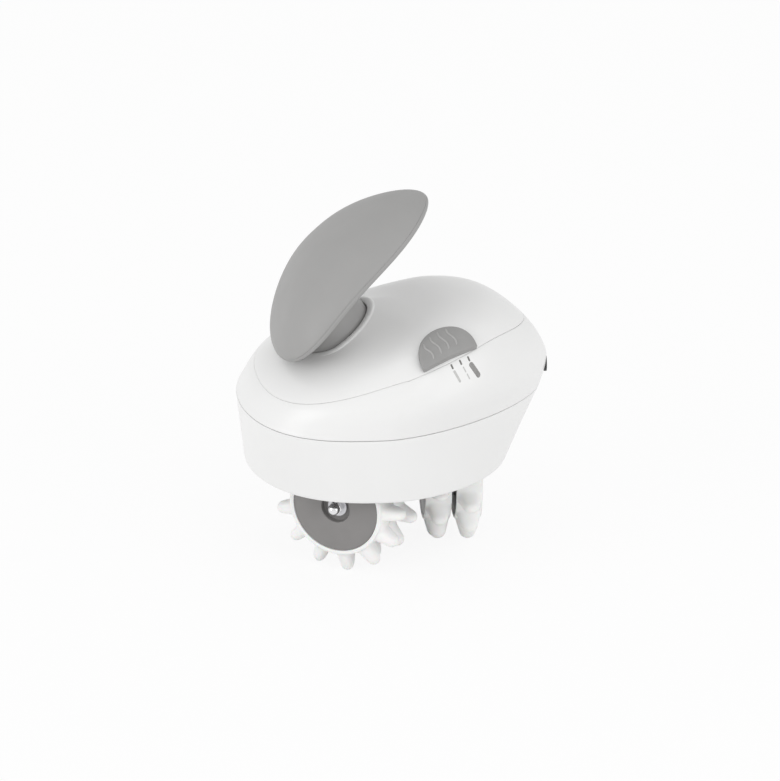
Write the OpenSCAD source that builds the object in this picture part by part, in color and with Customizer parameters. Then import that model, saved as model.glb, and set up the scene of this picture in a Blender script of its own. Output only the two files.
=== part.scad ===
// Hand-held anti-cellulite massager: a turning head with three finger rollers under an egg-shaped body,
// a slide switch on the shoulder and a domed palm rest on a leaning neck.
// Origin: the floor point under the axis of the turning head. +X is the tail, -Y the switch side, +Z up.

/* [Body] */
// From the head axis to the blunt end, at the lower seam
seam_head = 62; // [58:1:66]
// From the head axis to the tail, at the lower seam
seam_tail = 70.5; // [69:0.5:74]
// Half the width of the body at the lower seam
body_half_w = 55; // [54:0.5:58]
// Height of the lower seam above the floor
seam_z = 70; // [69:0.5:73]
// Height of the crest of the top cover
crest_z = 113; // [111:0.5:118]
// Distance of the crest behind the head axis
crest_x = 42; // [38:1:46]
// Thickness of the plastic walls
wall = 2.2; // [1.8:0.1:2.6]
// Gap at the seams between the shells
seam_gap = 0.4; // [0.2:0.1:0.6]

/* [Skirt] */
// Height of the rim of the skirt above the floor
rim_z = 39.5; // [37:0.5:42]
// How far the rim stands in from the lower seam at the blunt end
rim_in_head = 3.5; // [1:0.5:5]
// How far the rim stands in from the lower seam at the tail
rim_in_tail = 14.5; // [11:0.5:15.5]
// How far the rim stands in from the lower seam at each side
rim_in_side = 0.5; // [0:0.25:1]
// How far the ledge that carries the gear deck reaches in from the rim
ledge_in = 5.3; // [4.9:0.1:5.9]
// Height of the top of the ledge
ledge_z = 64; // [63.5:0.25:65]
// Thickness of the ledge
ledge_t = 2; // [1.6:0.2:2]

/* [Finger rollers] */
// Number of rollers around the head
roller_count = 3; // [3:1:3]
// Fingers in each row
finger_count = 13; // [11:1:13]
// Radius of the circle that the finger tips turn on
tip_r = 31; // [30:0.25:31]
// Radius of the rubber ring that the fingers grow from
root_r = 22; // [21.5:0.25:22.5]
// Radius of the grey core
core_r = 20; // [19:0.25:20.5]
// Distance of the outer row from the head axis
outer_row = 38.4; // [38:0.1:38.6]
// Distance of the inner row from the head axis
inner_row = 24.8; // [24.6:0.1:25]
// Width of each rubber ring along its axle
ring_w = 11.6; // [10.5:0.2:12]
// Width of a finger at its root, along the axle
finger_root_w = 11.4; // [10:0.2:11.6]
// Width of a finger at its tip, along the axle
finger_tip_w = 5.2; // [4:0.2:6]
// Thickness of a finger at its root, around the axle
finger_root_t = 8; // [7:0.2:8.6]
// Thickness of a finger at its tip, around the axle
finger_tip_t = 4.2; // [3.4:0.2:5]

/* [Head] */
// Radius of the hub of the turning head
hub_r = 12; // [11:0.5:13]
// Radius of the roller axles
axle_r = 2.5; // [2.3:0.1:2.7]
// Radius of the threaded end of the axles
thread_r = 1.5; // [1.4:0.1:1.6]
// Across the flats of the dome nuts
nut_af = 5.5; // [5.3:0.1:6]
// Radius of the nut recess in the roller core
nut_recess_r = 6.7; // [6:0.1:7]
// Depth of the nut recess
nut_recess_d = 3; // [2.6:0.2:3.4]
// Radius of the head shaft
shaft_r = 3; // [2.8:0.1:3.2]
// Outer radius of the two ball bearings
bearing_r = 8.5; // [8:0.25:9]
// Width of the ball bearings
bearing_w = 6; // [5:0.5:6]

/* [Gears] */
// Module of the slow gear pair
slow_module = 1; // [1:1:1]
// Module of the fast gear pair
fast_module = 0.8; // [0.8:0.1:0.8]
// Teeth of the head gear
head_teeth = 44; // [44:1:44]
// Teeth of the small gear of the idler
idler_small_teeth = 12; // [12:1:12]
// Teeth of the large gear of the idler
idler_large_teeth = 36; // [36:1:36]
// Teeth of the motor pinion
pinion_teeth = 10; // [10:1:10]
// Face width of the slow gears
slow_face = 5; // [4:0.5:5]
// Face width of the fast gears
fast_face = 3.6; // [3:0.2:3.6]
// Outer radius of the motor
motor_r = 12; // [11:0.5:12]
// Length of the motor can
motor_len = 17; // [15:0.5:17]

/* [Handle] */
// Distance of the lower tip of the palm rest in front of the head axis
handle_low_x = -45.5; // [-47:0.5:-44]
// Height of the lower tip of the palm rest
handle_low_z = 93; // [92:0.5:95]
// Distance of the upper tip of the palm rest behind the head axis
handle_high_x = 21; // [19:0.5:23]
// Height of the upper tip of the palm rest
handle_high_z = 161; // [158:0.5:163]
// Half the width of the palm rest
handle_half_w = 37.5; // [35:0.5:39]
// Rise of the long edges of the palm rest above its tips
handle_arch = 3.3; // [2.5:0.1:4]
// Height of the dome above the edges
handle_crown = 18; // [16:0.5:20]
// Thickness of the lower plate of the palm rest
handle_plate_t = 2.2; // [1.8:0.1:2.6]
// Outer radius of the neck
neck_r = 17.5; // [16.5:0.25:18]
// Distance of the neck in front of the head axis, where it leaves its collar
neck_x = -18.5; // [-19.5:0.25:-17.5]
// Height of the neck where it leaves its collar
neck_z = 99.9; // [99:0.25:101]
// Lean of the neck towards the blunt end
neck_lean = 35.7; // [34:0.25:37]

/* [Switch] */
// Length of the straight edge of the slider
slider_chord = 27.4; // [26:0.2:28]
// Depth of the slider from its straight edge
slider_depth = 15.6; // [15:0.2:16]
// Thickness of the slider
slider_t = 2.6; // [2:0.1:3]
// Travel of the slider over its three positions
slider_travel = 8; // [6:0.5:8]
// Radius of the arc that the slider swings on
track_r = 72; // [68:1:80]
// Radius of the slider's underside across its travel
barrel_r = 15; // [14:0.2:16]

/* [Power] */
// Radius of a battery cell
cell_r = 5.2; // [5:0.1:5.3]
// Length of a battery cell
cell_len = 44; // [42:0.5:45]
// Radius of the hole of the charging socket
socket_hole_r = 1.75; // [1.6:0.05:1.9]
// Depth of the hole of the charging socket
socket_hole_len = 10; // [9:0.5:11]

/* [Hidden] */
$fn = 48;

white = [0.95, 0.95, 0.94];
grey = [0.62, 0.61, 0.60];
dark = [0.15, 0.15, 0.16];
steel = [0.78, 0.78, 0.80];
brass = [0.80, 0.65, 0.32];

// Small clearances, named by what they part
press = 0.02;
fit = 0.1;
loose = 0.3;
touch = 0.05;

// Segments around the shells
around = 64;
angles = [for (i = [0:around - 1]) 360 * i / around];

function mix(a, b, t) = a + (b - a) * t;

// A smooth curve through evenly spaced values
function curve(v, t) =
    let (n = len(v) - 1, s = min(max(t, 0), 1) * n, i = min(floor(s), n - 1), f = s - i,
        b = v[i], c = v[i + 1], a = i > 0 ? v[i - 1] : 2 * b - c,
        d = i < n - 1 ? v[i + 2] : 2 * c - b)
    b + 0.5 * f * (c - a + f * (2 * a - 5 * b + 4 * c - d + f * (3 * (b - c) + d - a)));

// A point of an egg-shaped section: each end has its own fullness, and the tail tapers to its tip
function egg(head, tail, half, mid, head_pow, tail_pow, taper, a) =
    let (c = cos(a), s = sin(a), reach = c >= 0 ? tail - mid : mid - head, p = c >= 0 ? tail_pow : head_pow)
    [mid + reach * sign(c) * pow(abs(c), 2 / p), half * sign(s) * pow(abs(s), c >= 0 ? taper : 1)];

// Outline of the dome above the lower seam: shares of its reach and width at five even steps to the crest
head_share = [1, 0.918, 0.692, 0.365, 0.125, 0];
tail_share = [1, 1.15, 0.954, 0.667, 0.351, 0];
width_share = [1, 0.99, 0.873, 0.718, 0.49, 0];
seam_mid = -1;
rim_head = seam_head - rim_in_head;
rim_tail = seam_tail - rim_in_tail;
rim_half_w = body_half_w - rim_in_side;
ledge_r = rim_half_w - ledge_in;
head_full = [3, 2.5];
tail_full = [1.55, 2.3];
tail_taper = [1.4, 1];
rim_mid = 0;
rim_head_full = 2.5;
rim_tail_full = 1.75;
rim_taper = 1;

dome_h = crest_z - seam_z;
half_len = (seam_head + seam_tail) / 2;
mid_x = (seam_tail - seam_head) / 2;

function dome_z(t) = seam_z + dome_h * sin(90 * t);
function dome_at(z) = asin(min(max((z - seam_z) / dome_h, 0), 1)) / 90;
function dome_point(t, a) =
    let (head = crest_x - (seam_head + crest_x) * curve(head_share, t),
        tail = crest_x + (seam_tail - crest_x) * curve(tail_share, t),
        mid = mix(seam_mid, crest_x, pow(t, 1.5)),
        p = egg(head, tail, body_half_w * curve(width_share, t), mid, mix(head_full[0], head_full[1], t),
            mix(tail_full[0], tail_full[1], t), mix(tail_taper[0], tail_taper[1], t), a))
    [p.x, p.y, dome_z(t)];
function skirt_point(z, a) =
    let (f = (z - rim_z) / (seam_z - rim_z),
        p = egg(mix(-rim_head, -seam_head, f), mix(rim_tail, seam_tail, f),
            mix(rim_half_w, body_half_w, f), mix(rim_mid, seam_mid, f),
            mix(rim_head_full, head_full[0], f), mix(rim_tail_full, tail_full[0], f),
            mix(rim_taper, tail_taper[0], f), a))
    [p.x, p.y, z];

// The same surfaces moved inwards by a distance
function inset(p, d) =
    [mid_x + (p.x - mid_x) * (1 - d / half_len), p.y * (1 - d / body_half_w),
        p.z > seam_z ? seam_z + (p.z - seam_z) * (1 - d / dome_h) : p.z];
function dome_ring(t, d = 0) = [for (a = angles) inset(dome_point(t, a), d)];
function skirt_ring(z, d = 0) = [for (a = angles) inset(skirt_point(z, a), d)];
function round_ring(r, z) = [for (a = angles) [r * cos(a), r * sin(a), z]];
function lifted(ring, dz) = [for (p = ring) [p.x, p.y, p.z + dz]];

// The upper seam climbs from the blunt end to the tail
function upper_seam_z(a) = let (c = cos(a)) 95 + 21 * c - 3.5 * c * c - 11.5 * c * c * c;
function seam_ring(f, d, gap) = [for (a = angles)
    let (t = dome_at(upper_seam_z(a) + gap))
    inset(dome_point(f >= 0 ? mix(t, 1, f) : mix(0, t, 1 + f), a), d)];

// Closed solid through rings of points, either joined end to end or closed with a point at each end
function ring_faces(n, k0, k1) = [for (i = [0:n - 1]) let (j = (i + 1) % n)
    each [[k0 + i, k1 + i, k1 + j], [k0 + i, k1 + j, k0 + j]]];
module loft_loop(rings) {
    n = len(rings[0]);
    m = len(rings);
    polyhedron([for (r = rings) each r],
        [for (k = [0:m - 1]) each ring_faces(n, k * n, ((k + 1) % m) * n)], convexity = 8);
}
module loft(rings, first, last) {
    n = len(rings[0]);
    m = len(rings);
    polyhedron(concat([for (r = rings) each r], [first, last]),
        concat([for (k = [0:m - 2]) each ring_faces(n, k * n, (k + 1) * n)],
            [for (i = [0:n - 1]) [m * n, i, (i + 1) % n]],
            [for (i = [0:n - 1]) [(m - 1) * n + i, m * n + 1, (m - 1) * n + (i + 1) % n]]),
        convexity = 8);
}

// Solid dome above the lower seam, moved inwards by a distance
dome_steps = 12;
module dome_solid(d) {
    base = [mid_x, 0, seam_z - 6];
    rings = concat([lifted(dome_ring(0, d), -6)], [for (k = [0:dome_steps - 1]) dome_ring(k / dome_steps, d)]);
    loft(rings, base, inset([crest_x, 0, crest_z], d));
}

// Shells
module cover_shell() {
    outer = [for (k = [0:dome_steps - 1]) seam_ring(k / dome_steps, 0, seam_gap / 4)];
    inner = [for (k = [dome_steps - 1:-1:0]) seam_ring(k / dome_steps, wall, seam_gap / 4)];
    loft(concat(inner, outer), inset([crest_x, 0, crest_z], wall), [crest_x, 0, crest_z]);
}

// The neck leans: everything about it is drawn in its own frame, with its axis upwards
module at_neck() translate([neck_x, 0, neck_z]) rotate([0, -neck_lean, 0]) children();

// Raised collar around the neck, with a cup that the neck stands in
cup_r = neck_r + loose;
cup_floor = -3;
cup_t = 2.6;
lip_r = cup_r + 3.9;
lip_round = 1.9;
flare = 8;
skin_cut = cup_r + 2;
collar_foot = -15;
module collar_profile() polygon(concat(
    [[0, cup_floor - cup_t], [0, cup_floor], [cup_r, cup_floor], [cup_r, 0]],
    [for (a = [0:15:180]) [cup_r + lip_round - lip_round * cos(a), lip_round * 0.6 * sin(a)]],
    [for (a = [0:15:90]) [lip_r + flare * (1 - cos(a)), -1 - flare * sin(a)]],
    [[lip_r + flare, collar_foot], [cup_r, collar_foot], [cup_r, cup_floor - cup_t]]));
neck_screw_ring = 11;
neck_screw_r = 1.5;
module collar() difference() {
    at_neck() rotate_extrude($fn = 96) collar_profile();
    difference() {
        dome_solid(wall);
        at_neck() translate([0, 0, cup_floor - cup_t]) cylinder(r = skin_cut, h = 80);
    }
    at_neck() three_around(neck_screw_ring) cylinder(r = neck_screw_r + fit, h = 30, center = true);
}
module three_around(r) for (k = [0:2]) rotate([0, 0, 120 * k + 60]) translate([r, 0, 0]) children();

// Screw bosses of the top cover
cover_boss_head = 32 - seam_head;
cover_boss_tail = seam_tail - 18.5;
cover_boss = [[cover_boss_head, 30], [cover_boss_head, -30], [cover_boss_tail, 12], [cover_boss_tail, -12]];
boss_r = 3.6;
screw_r = 1.45;
pilot_r = 1.25;
deck_t = 3;
deck_z = ledge_z + touch;
deck_top = deck_z + deck_t;
module cover_bosses() intersection() {
    for (p = cover_boss) translate([p.x, p.y, deck_top + touch]) cylinder(r = boss_r, h = 60);
    dome_solid(wall / 2);
}
module top_cover() color(white) difference() {
    union() {
        difference() {
            cover_shell();
            at_neck() cylinder(r = skin_cut, h = 60, center = true);
        }
        collar();
        cover_bosses();
    }
    for (p = cover_boss) translate([p.x, p.y, deck_top - 1]) cylinder(r = pilot_r, h = 13, $fn = 24);
    stem_slot();
    at_neck() translate([0, 0, cup_floor]) cylinder(r = cup_r, h = 30);
}

// The slider rides over the shoulder of the cover on an arc: its frame has x along the travel, z outwards
slider_share = 0.5358;
slider_turn = -75.07;
slider_sink = 1.46;
slider_at = dome_point(slider_share, slider_turn) - [0, 0, slider_sink];
slider_yaw = 30.5;
slider_rise = 14.4;
slider_roll = 28.4;
slider_skew = -5.4;
slider_gap = 3.55;
track_mid = [3.3, 7.7];
module at_slider() translate(slider_at) rotate([slider_roll, -slider_rise, slider_yaw]) children();
slider_r = (pow(slider_chord / 2, 2) + pow(slider_depth, 2)) / (2 * slider_depth);
moon_steps = 24;
// Half-moon outline: an arc that ends on its straight edge
function moon() = let (y = slider_depth - slider_r, turn = acos(-y / slider_r))
    [for (k = [-moon_steps / 2:moon_steps / 2]) let (a = 2 * turn * k / moon_steps)
        [slider_r * sin(a), y + slider_r * cos(a)]];
module moon_prism() rotate([0, 0, slider_skew]) translate([0, 0, -12]) linear_extrude(30) polygon(moon());
// Barrel-shaped body about the axis that the slider swings on
module track_barrel(grow) translate([track_mid.x, 0, slider_gap - track_r]) rotate([-90, 0, 0])
    rotate_extrude($fn = 180) polygon(concat([[track_r - 12, -3]],
        [for (k = [0:10]) let (y = mix(-3, 19, k / 10))
            [track_r - barrel_r + sqrt(pow(barrel_r, 2) - pow(y - track_mid.y, 2)) + grow, y]],
        [[track_r - 12, 19]]));
stem_w = 4;
stem_t = 3;
stem_low = -5.6;
module stem_slot() at_slider() translate([-stem_w / 2 - loose, track_mid.y - stem_t / 2 - loose, stem_low])
    cube([stem_w + slider_travel + 2 * loose, stem_t + 2 * loose, 20]);
rib_count = 4;
rib_gap = 4.2;
rib_h = 0.6;
module rib(x) for (k = [0:5]) translate([x + 1.1 * sin(60 * k), 3.4 + k * 1.7, 0])
    rotate([0, 0, -28 * cos(60 * k)]) translate([-0.45, -1.1, 0]) cube([0.9, 2.2, 20]);
module switch_slider() color(grey) at_slider() {
    difference() {
        intersection() {
            moon_prism();
            track_barrel(slider_t);
        }
        track_barrel(0);
    }
    intersection() {
        for (k = [0:rib_count - 1]) rib((k - 1.5) * rib_gap - 1);
        difference() {
            track_barrel(slider_t + rib_h);
            track_barrel(slider_t / 2);
        }
    }
    translate([-stem_w / 2, track_mid.y - stem_t / 2, stem_low])
        cube([stem_w, stem_t, slider_gap + slider_t / 2 - stem_low]);
}

// Electric slide switch below the cover, with a slot for the stem and a post at each end
switch_half_t = 3.6;
module slide_switch() color(dark) difference() {
    intersection() {
        at_slider() {
            translate([-5.5, track_mid.y - switch_half_t, -11]) cube([slider_travel + 11, 2 * switch_half_t, 8]);
            for (x = [-8.5, slider_travel + 4.5])
                translate([x, track_mid.y - switch_half_t, -11]) cube([4, 2 * switch_half_t, 18]);
        }
        dome_solid(wall + touch);
    }
    at_slider() translate([-stem_w / 2 - loose, track_mid.y - stem_t / 2 - loose, stem_low - loose])
        cube([slider_travel + stem_w + 2 * loose, stem_t + 2 * loose, 5]);
}

// Side housing, with three posts for the deck screws and the seat of the charging socket
side_steps = 5;
deck_post_head = 16 - seam_head;
deck_post = [[seam_tail - 12.5, 0], [deck_post_head, 28], [deck_post_head, -28]];
post_r = 4;
post_h = 12;
socket_z = 80;
socket_r = 4;
socket_len = 12;
module side_shell() loft_loop(concat(
    [lifted(dome_ring(0), seam_gap / 2)],
    [for (k = [1:side_steps]) seam_ring(k / side_steps - 1 - 0.0001, 0, -seam_gap / 4)],
    [for (k = [side_steps:-1:1]) seam_ring(k / side_steps - 1 - 0.0001, wall, -seam_gap / 4)],
    [lifted(dome_ring(0, wall), seam_gap / 2)]));
module side_housing() color(white) difference() {
    union() {
        side_shell();
        intersection() {
            for (p = deck_post) hanging_post(p);
            dome_solid(wall / 2);
            translate([0, 0, seam_z + seam_gap / 2 + 200]) cube(400, center = true);
        }
        for (p = deck_post) translate([p.x, p.y, deck_top + touch]) cylinder(r = post_r, h = post_h);
    }
    for (p = deck_post) translate([p.x, p.y, deck_top - 1]) cylinder(r = pilot_r, h = post_h - 1, $fn = 24);
    translate([socket_face - socket_len - 20, 0, socket_z]) rotate([0, 90, 0])
        cylinder(r = socket_r + fit, h = socket_len + 40);
}
// A web joins each post to the wall beside it
module hanging_post(p) {
    a = atan2(p.y, p.x);
    translate([p.x, p.y, 0]) rotate([0, 0, a]) translate([0, -1.2, deck_top + 5]) cube([30, 2.4, post_h - 5]);
}

// Lower skirt, with the ledge that carries the gear deck
rim_round = 0.6;
module lower_skirt() color(white) difference() {
    loft_loop(concat(
        [skirt_ring(rim_z, rim_round)],
        [for (f = [0.04, 0.36, 0.68, 1]) skirt_ring(mix(rim_z, seam_z - seam_gap / 2, f))],
        [skirt_ring(seam_z - seam_gap / 2, wall), skirt_ring(ledge_z, wall), round_ring(ledge_r, ledge_z),
            round_ring(ledge_r, ledge_z - ledge_t), skirt_ring(ledge_z - ledge_t, wall),
            skirt_ring(mix(rim_z, ledge_z, 0.5), wall), skirt_ring(rim_z, wall)]));
    for (p = deck_post) translate([p.x, p.y, ledge_z - 10]) cylinder(r = screw_r + fit, h = 20, $fn = 24);
}

// Gear centres
slow_r = slow_module * head_teeth / 2;
idler_small_r = slow_module * idler_small_teeth / 2;
idler_large_r = fast_module * idler_large_teeth / 2;
pinion_r = fast_module * pinion_teeth / 2;
idler_dist = slow_r + idler_small_r;
motor_dist = idler_large_r + pinion_r;
motor_x = 30;
idler_angle = acos((pow(idler_dist, 2) + pow(motor_x, 2) - pow(motor_dist, 2)) / (2 * idler_dist * motor_x));
idler_x = idler_dist * cos(idler_angle);
idler_y = idler_dist * sin(idler_angle);
slow_z = deck_top + bearing_w - 1;
fast_z = slow_z + slow_face + 1;
lid_t = 3;
lid_z = fast_z + fast_face + 2.4;
lid_bearing_z = lid_z + lid_t - bearing_w;

// Gear deck: closes the roller space, carries the lower bearing, the pillars and the cell cradles
pillar = [[-15, 25], [-15, -25], [44, 17], [44, -17]];
pillar_r = 3.2;
board_z = 74;
board_x0 = 12 - seam_head;
board_post_head = board_x0 + 4;
board_post_tail = board_x0 + 21;
board_post = [[board_post_head, 16], [board_post_head, -16], [board_post_tail, 16], [board_post_tail, -16]];
cell_y = body_half_w - 17.5;
cell_x0 = -22;
cell_z = deck_top + cell_r + 1;
module gear_deck() color(grey) difference() {
    union() {
        translate([0, 0, deck_z]) linear_extrude(deck_t)
            polygon([for (p = skirt_ring(ledge_z, wall + loose)) [p.x, p.y]]);
        translate([0, 0, deck_z]) cylinder(r = bearing_r + 2.2, h = deck_t + bearing_w - 2.5);
        for (p = pillar) translate([p.x, p.y, deck_z]) cylinder(r = pillar_r, h = lid_z - deck_z - touch);
        for (p = board_post) translate([p.x, p.y, deck_z]) cylinder(r = 2.4, h = board_z - deck_z - touch);
        translate([idler_x, idler_y, deck_z]) cylinder(r = 3.4, h = slow_z - deck_z - fit);
        for (s = [-1, 1]) for (x = [cell_x0 + 4, cell_x0 + cell_len - 8])
            translate([x, s * cell_y - cell_r - 1, deck_z]) cube([4, 2 * cell_r + 2, deck_t + cell_r - 1]);
    }
    translate([0, 0, deck_z + 1]) cylinder(r = bearing_r + press, h = 30);
    translate([0, 0, deck_z - 5]) cylinder(r = shaft_r + 2, h = 30);
    for (p = pillar) translate([p.x, p.y, lid_z - 9]) cylinder(r = pilot_r, h = 20, $fn = 24);
    for (p = board_post) translate([p.x, p.y, board_z - 6]) cylinder(r = 0.8, h = 20, $fn = 24);
    for (p = deck_post) translate([p.x, p.y, deck_z - 5]) cylinder(r = screw_r + fit, h = 20, $fn = 24);
    for (p = cover_boss) translate([p.x, p.y, deck_z - 5]) cylinder(r = screw_r + fit, h = 20, $fn = 24);
    for (p = cover_boss) translate([p.x, p.y, deck_z - 5]) cylinder(r = 2.9, h = 5 + 1.4, $fn = 32);
    for (s = [-1, 1]) translate([cell_x0 - 5, s * cell_y, cell_z]) rotate([0, 90, 0])
        cylinder(r = cell_r + loose, h = cell_len + 10);
    translate([idler_x, idler_y, deck_z - 5]) cylinder(r = 1.5, h = 20, $fn = 24);
}

// Gearbox lid: carries the upper bearing, the idler pin and the motor
lid_edge = pillar_r + 0.4;
lid_corner = 4;
lid_half = [[pillar[0].x - lid_edge, pillar[0].y - lid_corner], [pillar[0].x + lid_corner, pillar[0].y + lid_edge],
    [motor_x - lid_corner, motor_r + 12], [pillar[2].x + lid_edge, pillar[2].y + 3]];
module gearbox_lid() color(grey) difference() {
    union() {
        translate([0, 0, lid_z]) linear_extrude(lid_t)
            polygon(concat(lid_half, [for (k = [3:-1:0]) [lid_half[k].x, -lid_half[k].y]]));
        translate([0, 0, lid_bearing_z - 0.8]) cylinder(r = bearing_r + 1.9, h = bearing_w - lid_t + 1);
    }
    translate([0, 0, lid_bearing_z]) cylinder(r = bearing_r + press, h = 30);
    translate([0, 0, lid_bearing_z - 5]) cylinder(r = shaft_r + 2, h = 30);
    translate([motor_x, 0, lid_z - 5]) cylinder(r = pinion_r + 1.4, h = 20);
    translate([idler_x, idler_y, lid_z - 5]) cylinder(r = 1.5, h = 20, $fn = 24);
    for (p = pillar) translate([p.x, p.y, lid_z - 5]) cylinder(r = screw_r + fit, h = 20, $fn = 24);
    for (s = [-1, 1]) translate([motor_x, 8 * s, lid_z - 5]) cylinder(r = 1.1, h = 20, $fn = 24);
}

// Bearings, each a ring with a race groove on both faces
module ball_bearing(z) color(steel) translate([0, 0, z]) difference() {
    cylinder(r = bearing_r, h = bearing_w);
    translate([0, 0, -1]) cylinder(r = shaft_r + fit / 2, h = bearing_w + 2);
    for (z1 = [-1, bearing_w - 0.5]) translate([0, 0, z1]) difference() {
        cylinder(r = bearing_r - 1.4, h = 1.5);
        translate([0, 0, -1]) cylinder(r = shaft_r + 1.4, h = 4);
    }
}
module lower_bearing() ball_bearing(deck_z + 1);
module upper_bearing() ball_bearing(lid_bearing_z);

// Screws
module pan_screw(r, head_r, head_h, len) {
    cylinder(r = r, h = len, $fn = 24);
    translate([0, 0, -head_h]) difference() {
        cylinder(r = head_r, h = head_h, $fn = 32);
        translate([-head_r * 0.6, -0.35, -0.01]) cube([head_r * 1.2, 0.7, 0.6]);
        translate([-0.35, -head_r * 0.6, -0.01]) cube([0.7, head_r * 1.2, 0.6]);
    }
}
thread = pilot_r - touch;
module gearbox_screws() color(steel) for (p = pillar)
    translate([p.x, p.y, lid_z + lid_t + touch]) rotate([180, 0, 0]) pan_screw(thread, 2.6, 1.8, 10);
module deck_screws() color(steel) for (p = deck_post)
    translate([p.x, p.y, ledge_z - ledge_t - touch]) pan_screw(thread, 2.6, 1.8, ledge_t + deck_t + 8);
module cover_screws() color(steel) for (p = cover_boss)
    translate([p.x, p.y, deck_z + 1.35]) pan_screw(thread, 2.6, 1.3, 12);
module neck_screws() color(steel) at_neck() three_around(neck_screw_ring)
    translate([0, 0, cup_floor - cup_t - touch]) pan_screw(1.15, 2.6, 1.8, 9);
module board_screws() color(steel) for (p = board_post)
    translate([p.x, p.y, board_top]) rotate([180, 0, 0]) pan_screw(0.75, 1.8, 1.2, 5);
module motor_screws() color(steel) for (s = [-1, 1])
    translate([motor_x, 8 * s, lid_z - touch]) pan_screw(0.95, 1.9, 1.2, lid_t + 2);
module hub_screw() color(steel) translate([0, 0, hub_low - touch])
    pan_screw(1.5, 3.4, 2, shaft_low - hub_low + 6);

// Palm rest: drawn in its own frame, with x from the lower tip to the upper tip and z out of the palm side
handle_len = norm([handle_high_x - handle_low_x, handle_high_z - handle_low_z]);
handle_tilt = atan2(handle_high_z - handle_low_z, handle_high_x - handle_low_x);
module at_handle() translate([(handle_low_x + handle_high_x) / 2, 0, (handle_low_z + handle_high_z) / 2])
    rotate([0, -handle_tilt, 0]) children();
handle_around = 56;
handle_full = 2.65;
handle_egg = 0.33;
function handle_uv(rho, a) = [rho * sign(cos(a)) * pow(abs(cos(a)), 2 / handle_full), rho * sin(a)];
function handle_arch_at(u) = handle_arch * pow(max(1 - u * u, 0), 2.4);
function handle_point(rho, a, d, rise, drop) =
    let (p = handle_uv(rho, a), half = handle_half_w - d)
    [(handle_len / 2 - d) * p.x, half * (1 - handle_egg * p.x) * p.y,
        handle_arch_at(p.x) + rise * pow(max(1 - rho * rho, 0), 0.61) - drop];
function handle_ring(rho, d, rise, drop) = [for (i = [0:handle_around - 1])
    handle_point(rho, 360 * i / handle_around, d, rise, drop)];
dome_rho = [1, 0.985, 0.94, 0.86, 0.74, 0.58, 0.38, 0.18];
module handle_dome(d, drop) {
    rise = handle_crown - d;
    loft([for (rho = dome_rho) handle_ring(rho, d, rise, drop)],
        [0, 0, -6], [0, 0, handle_arch + rise - drop]);
}
module handle_shell() {
    n = len(dome_rho);
    rise = handle_crown - wall;
    loft(concat([for (k = [n - 1:-1:0]) handle_ring(dome_rho[k], wall, rise, 0)],
            [for (rho = dome_rho) handle_ring(rho, 0, handle_crown, 0)]),
        [0, 0, handle_arch + rise], [0, 0, handle_arch + handle_crown]);
}
handle_boss = [[24, 0], [-34, 22], [-34, -22]];
module handle_top() color(grey) at_handle() difference() {
    union() {
        handle_shell();
        intersection() {
            for (p = handle_boss) translate([p.x, p.y, handle_arch + touch]) cylinder(r = boss_r, h = 30);
            handle_dome(wall / 2, 0);
        }
    }
    for (p = handle_boss) translate([p.x, p.y, handle_arch - 1]) cylinder(r = pilot_r, h = 9, $fn = 24);
}
edge_round = 0.7;
handle_head_r = 2.6;
function handle_seat(p) = handle_arch_at(2 * p.x / handle_len) - handle_plate_t + 0.7;
module handle_plate() {
    low = handle_plate_t;
    loft([handle_ring(0.4, edge_round, 0, low), handle_ring(0.8, edge_round, 0, low),
            handle_ring(1, edge_round, 0, low), handle_ring(1, 0, 0, low * 0.6), handle_ring(1, 0, 0, touch),
            handle_ring(1, wall + loose, 0, touch), handle_ring(0.8, 0, 0, touch), handle_ring(0.4, 0, 0, touch)],
        [0, 0, handle_arch - low], [0, 0, handle_arch - touch]);
}
neck_foot = cup_floor + touch;
neck_wall = 3;
module neck_tube() difference() {
    at_neck() translate([0, 0, neck_foot]) cylinder(r = neck_r, h = 60, $fn = 96);
    at_neck() translate([0, 0, neck_foot + 8]) cylinder(r = neck_r - neck_wall, h = 60, $fn = 96);
    at_handle() translate([-100, -100, handle_arch + 2]) cube([200, 200, 80]);
}
module handle_bottom() color(grey) difference() {
    union() {
        at_handle() handle_plate();
        neck_tube();
    }
    at_neck() three_around(neck_screw_ring) translate([0, 0, neck_foot - 1])
        cylinder(r = pilot_r, h = 8, $fn = 24);
    at_handle() for (p = handle_boss) {
        translate([p.x, p.y, -5]) cylinder(r = screw_r + fit, h = 20, $fn = 24);
        translate([p.x, p.y, handle_seat(p) - 8]) cylinder(r = handle_head_r + loose, h = 8, $fn = 32);
    }
}
module handle_screws() color(steel) at_handle() for (p = handle_boss)
    translate([p.x, p.y, handle_seat(p) - touch]) pan_screw(thread, handle_head_r, 1.6, 9);

// Circuit board and what sits on it
board_len = 25;
board_half_w = 20;
board_t = 1.6;
board_top = board_z + board_t + touch;
module circuit_board() color([0.10, 0.38, 0.20]) difference() {
    translate([board_x0, -board_half_w, board_z]) cube([board_len, 2 * board_half_w, board_t]);
    for (p = board_post) translate([p.x, p.y, board_z - 1]) cylinder(r = 1, h = 4, $fn = 24);
}
module board_parts() color(dark) {
    for (y = [-7, 6]) translate([board_x0 + 12, y, board_top]) cylinder(r = 2.6, h = 5);
    translate([board_x0 + 3, -4, board_top]) cube([5, 8, 1.6]);
    translate([board_x0 + 18, -8, board_top]) cube([4, 16, 3]);
}

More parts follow.
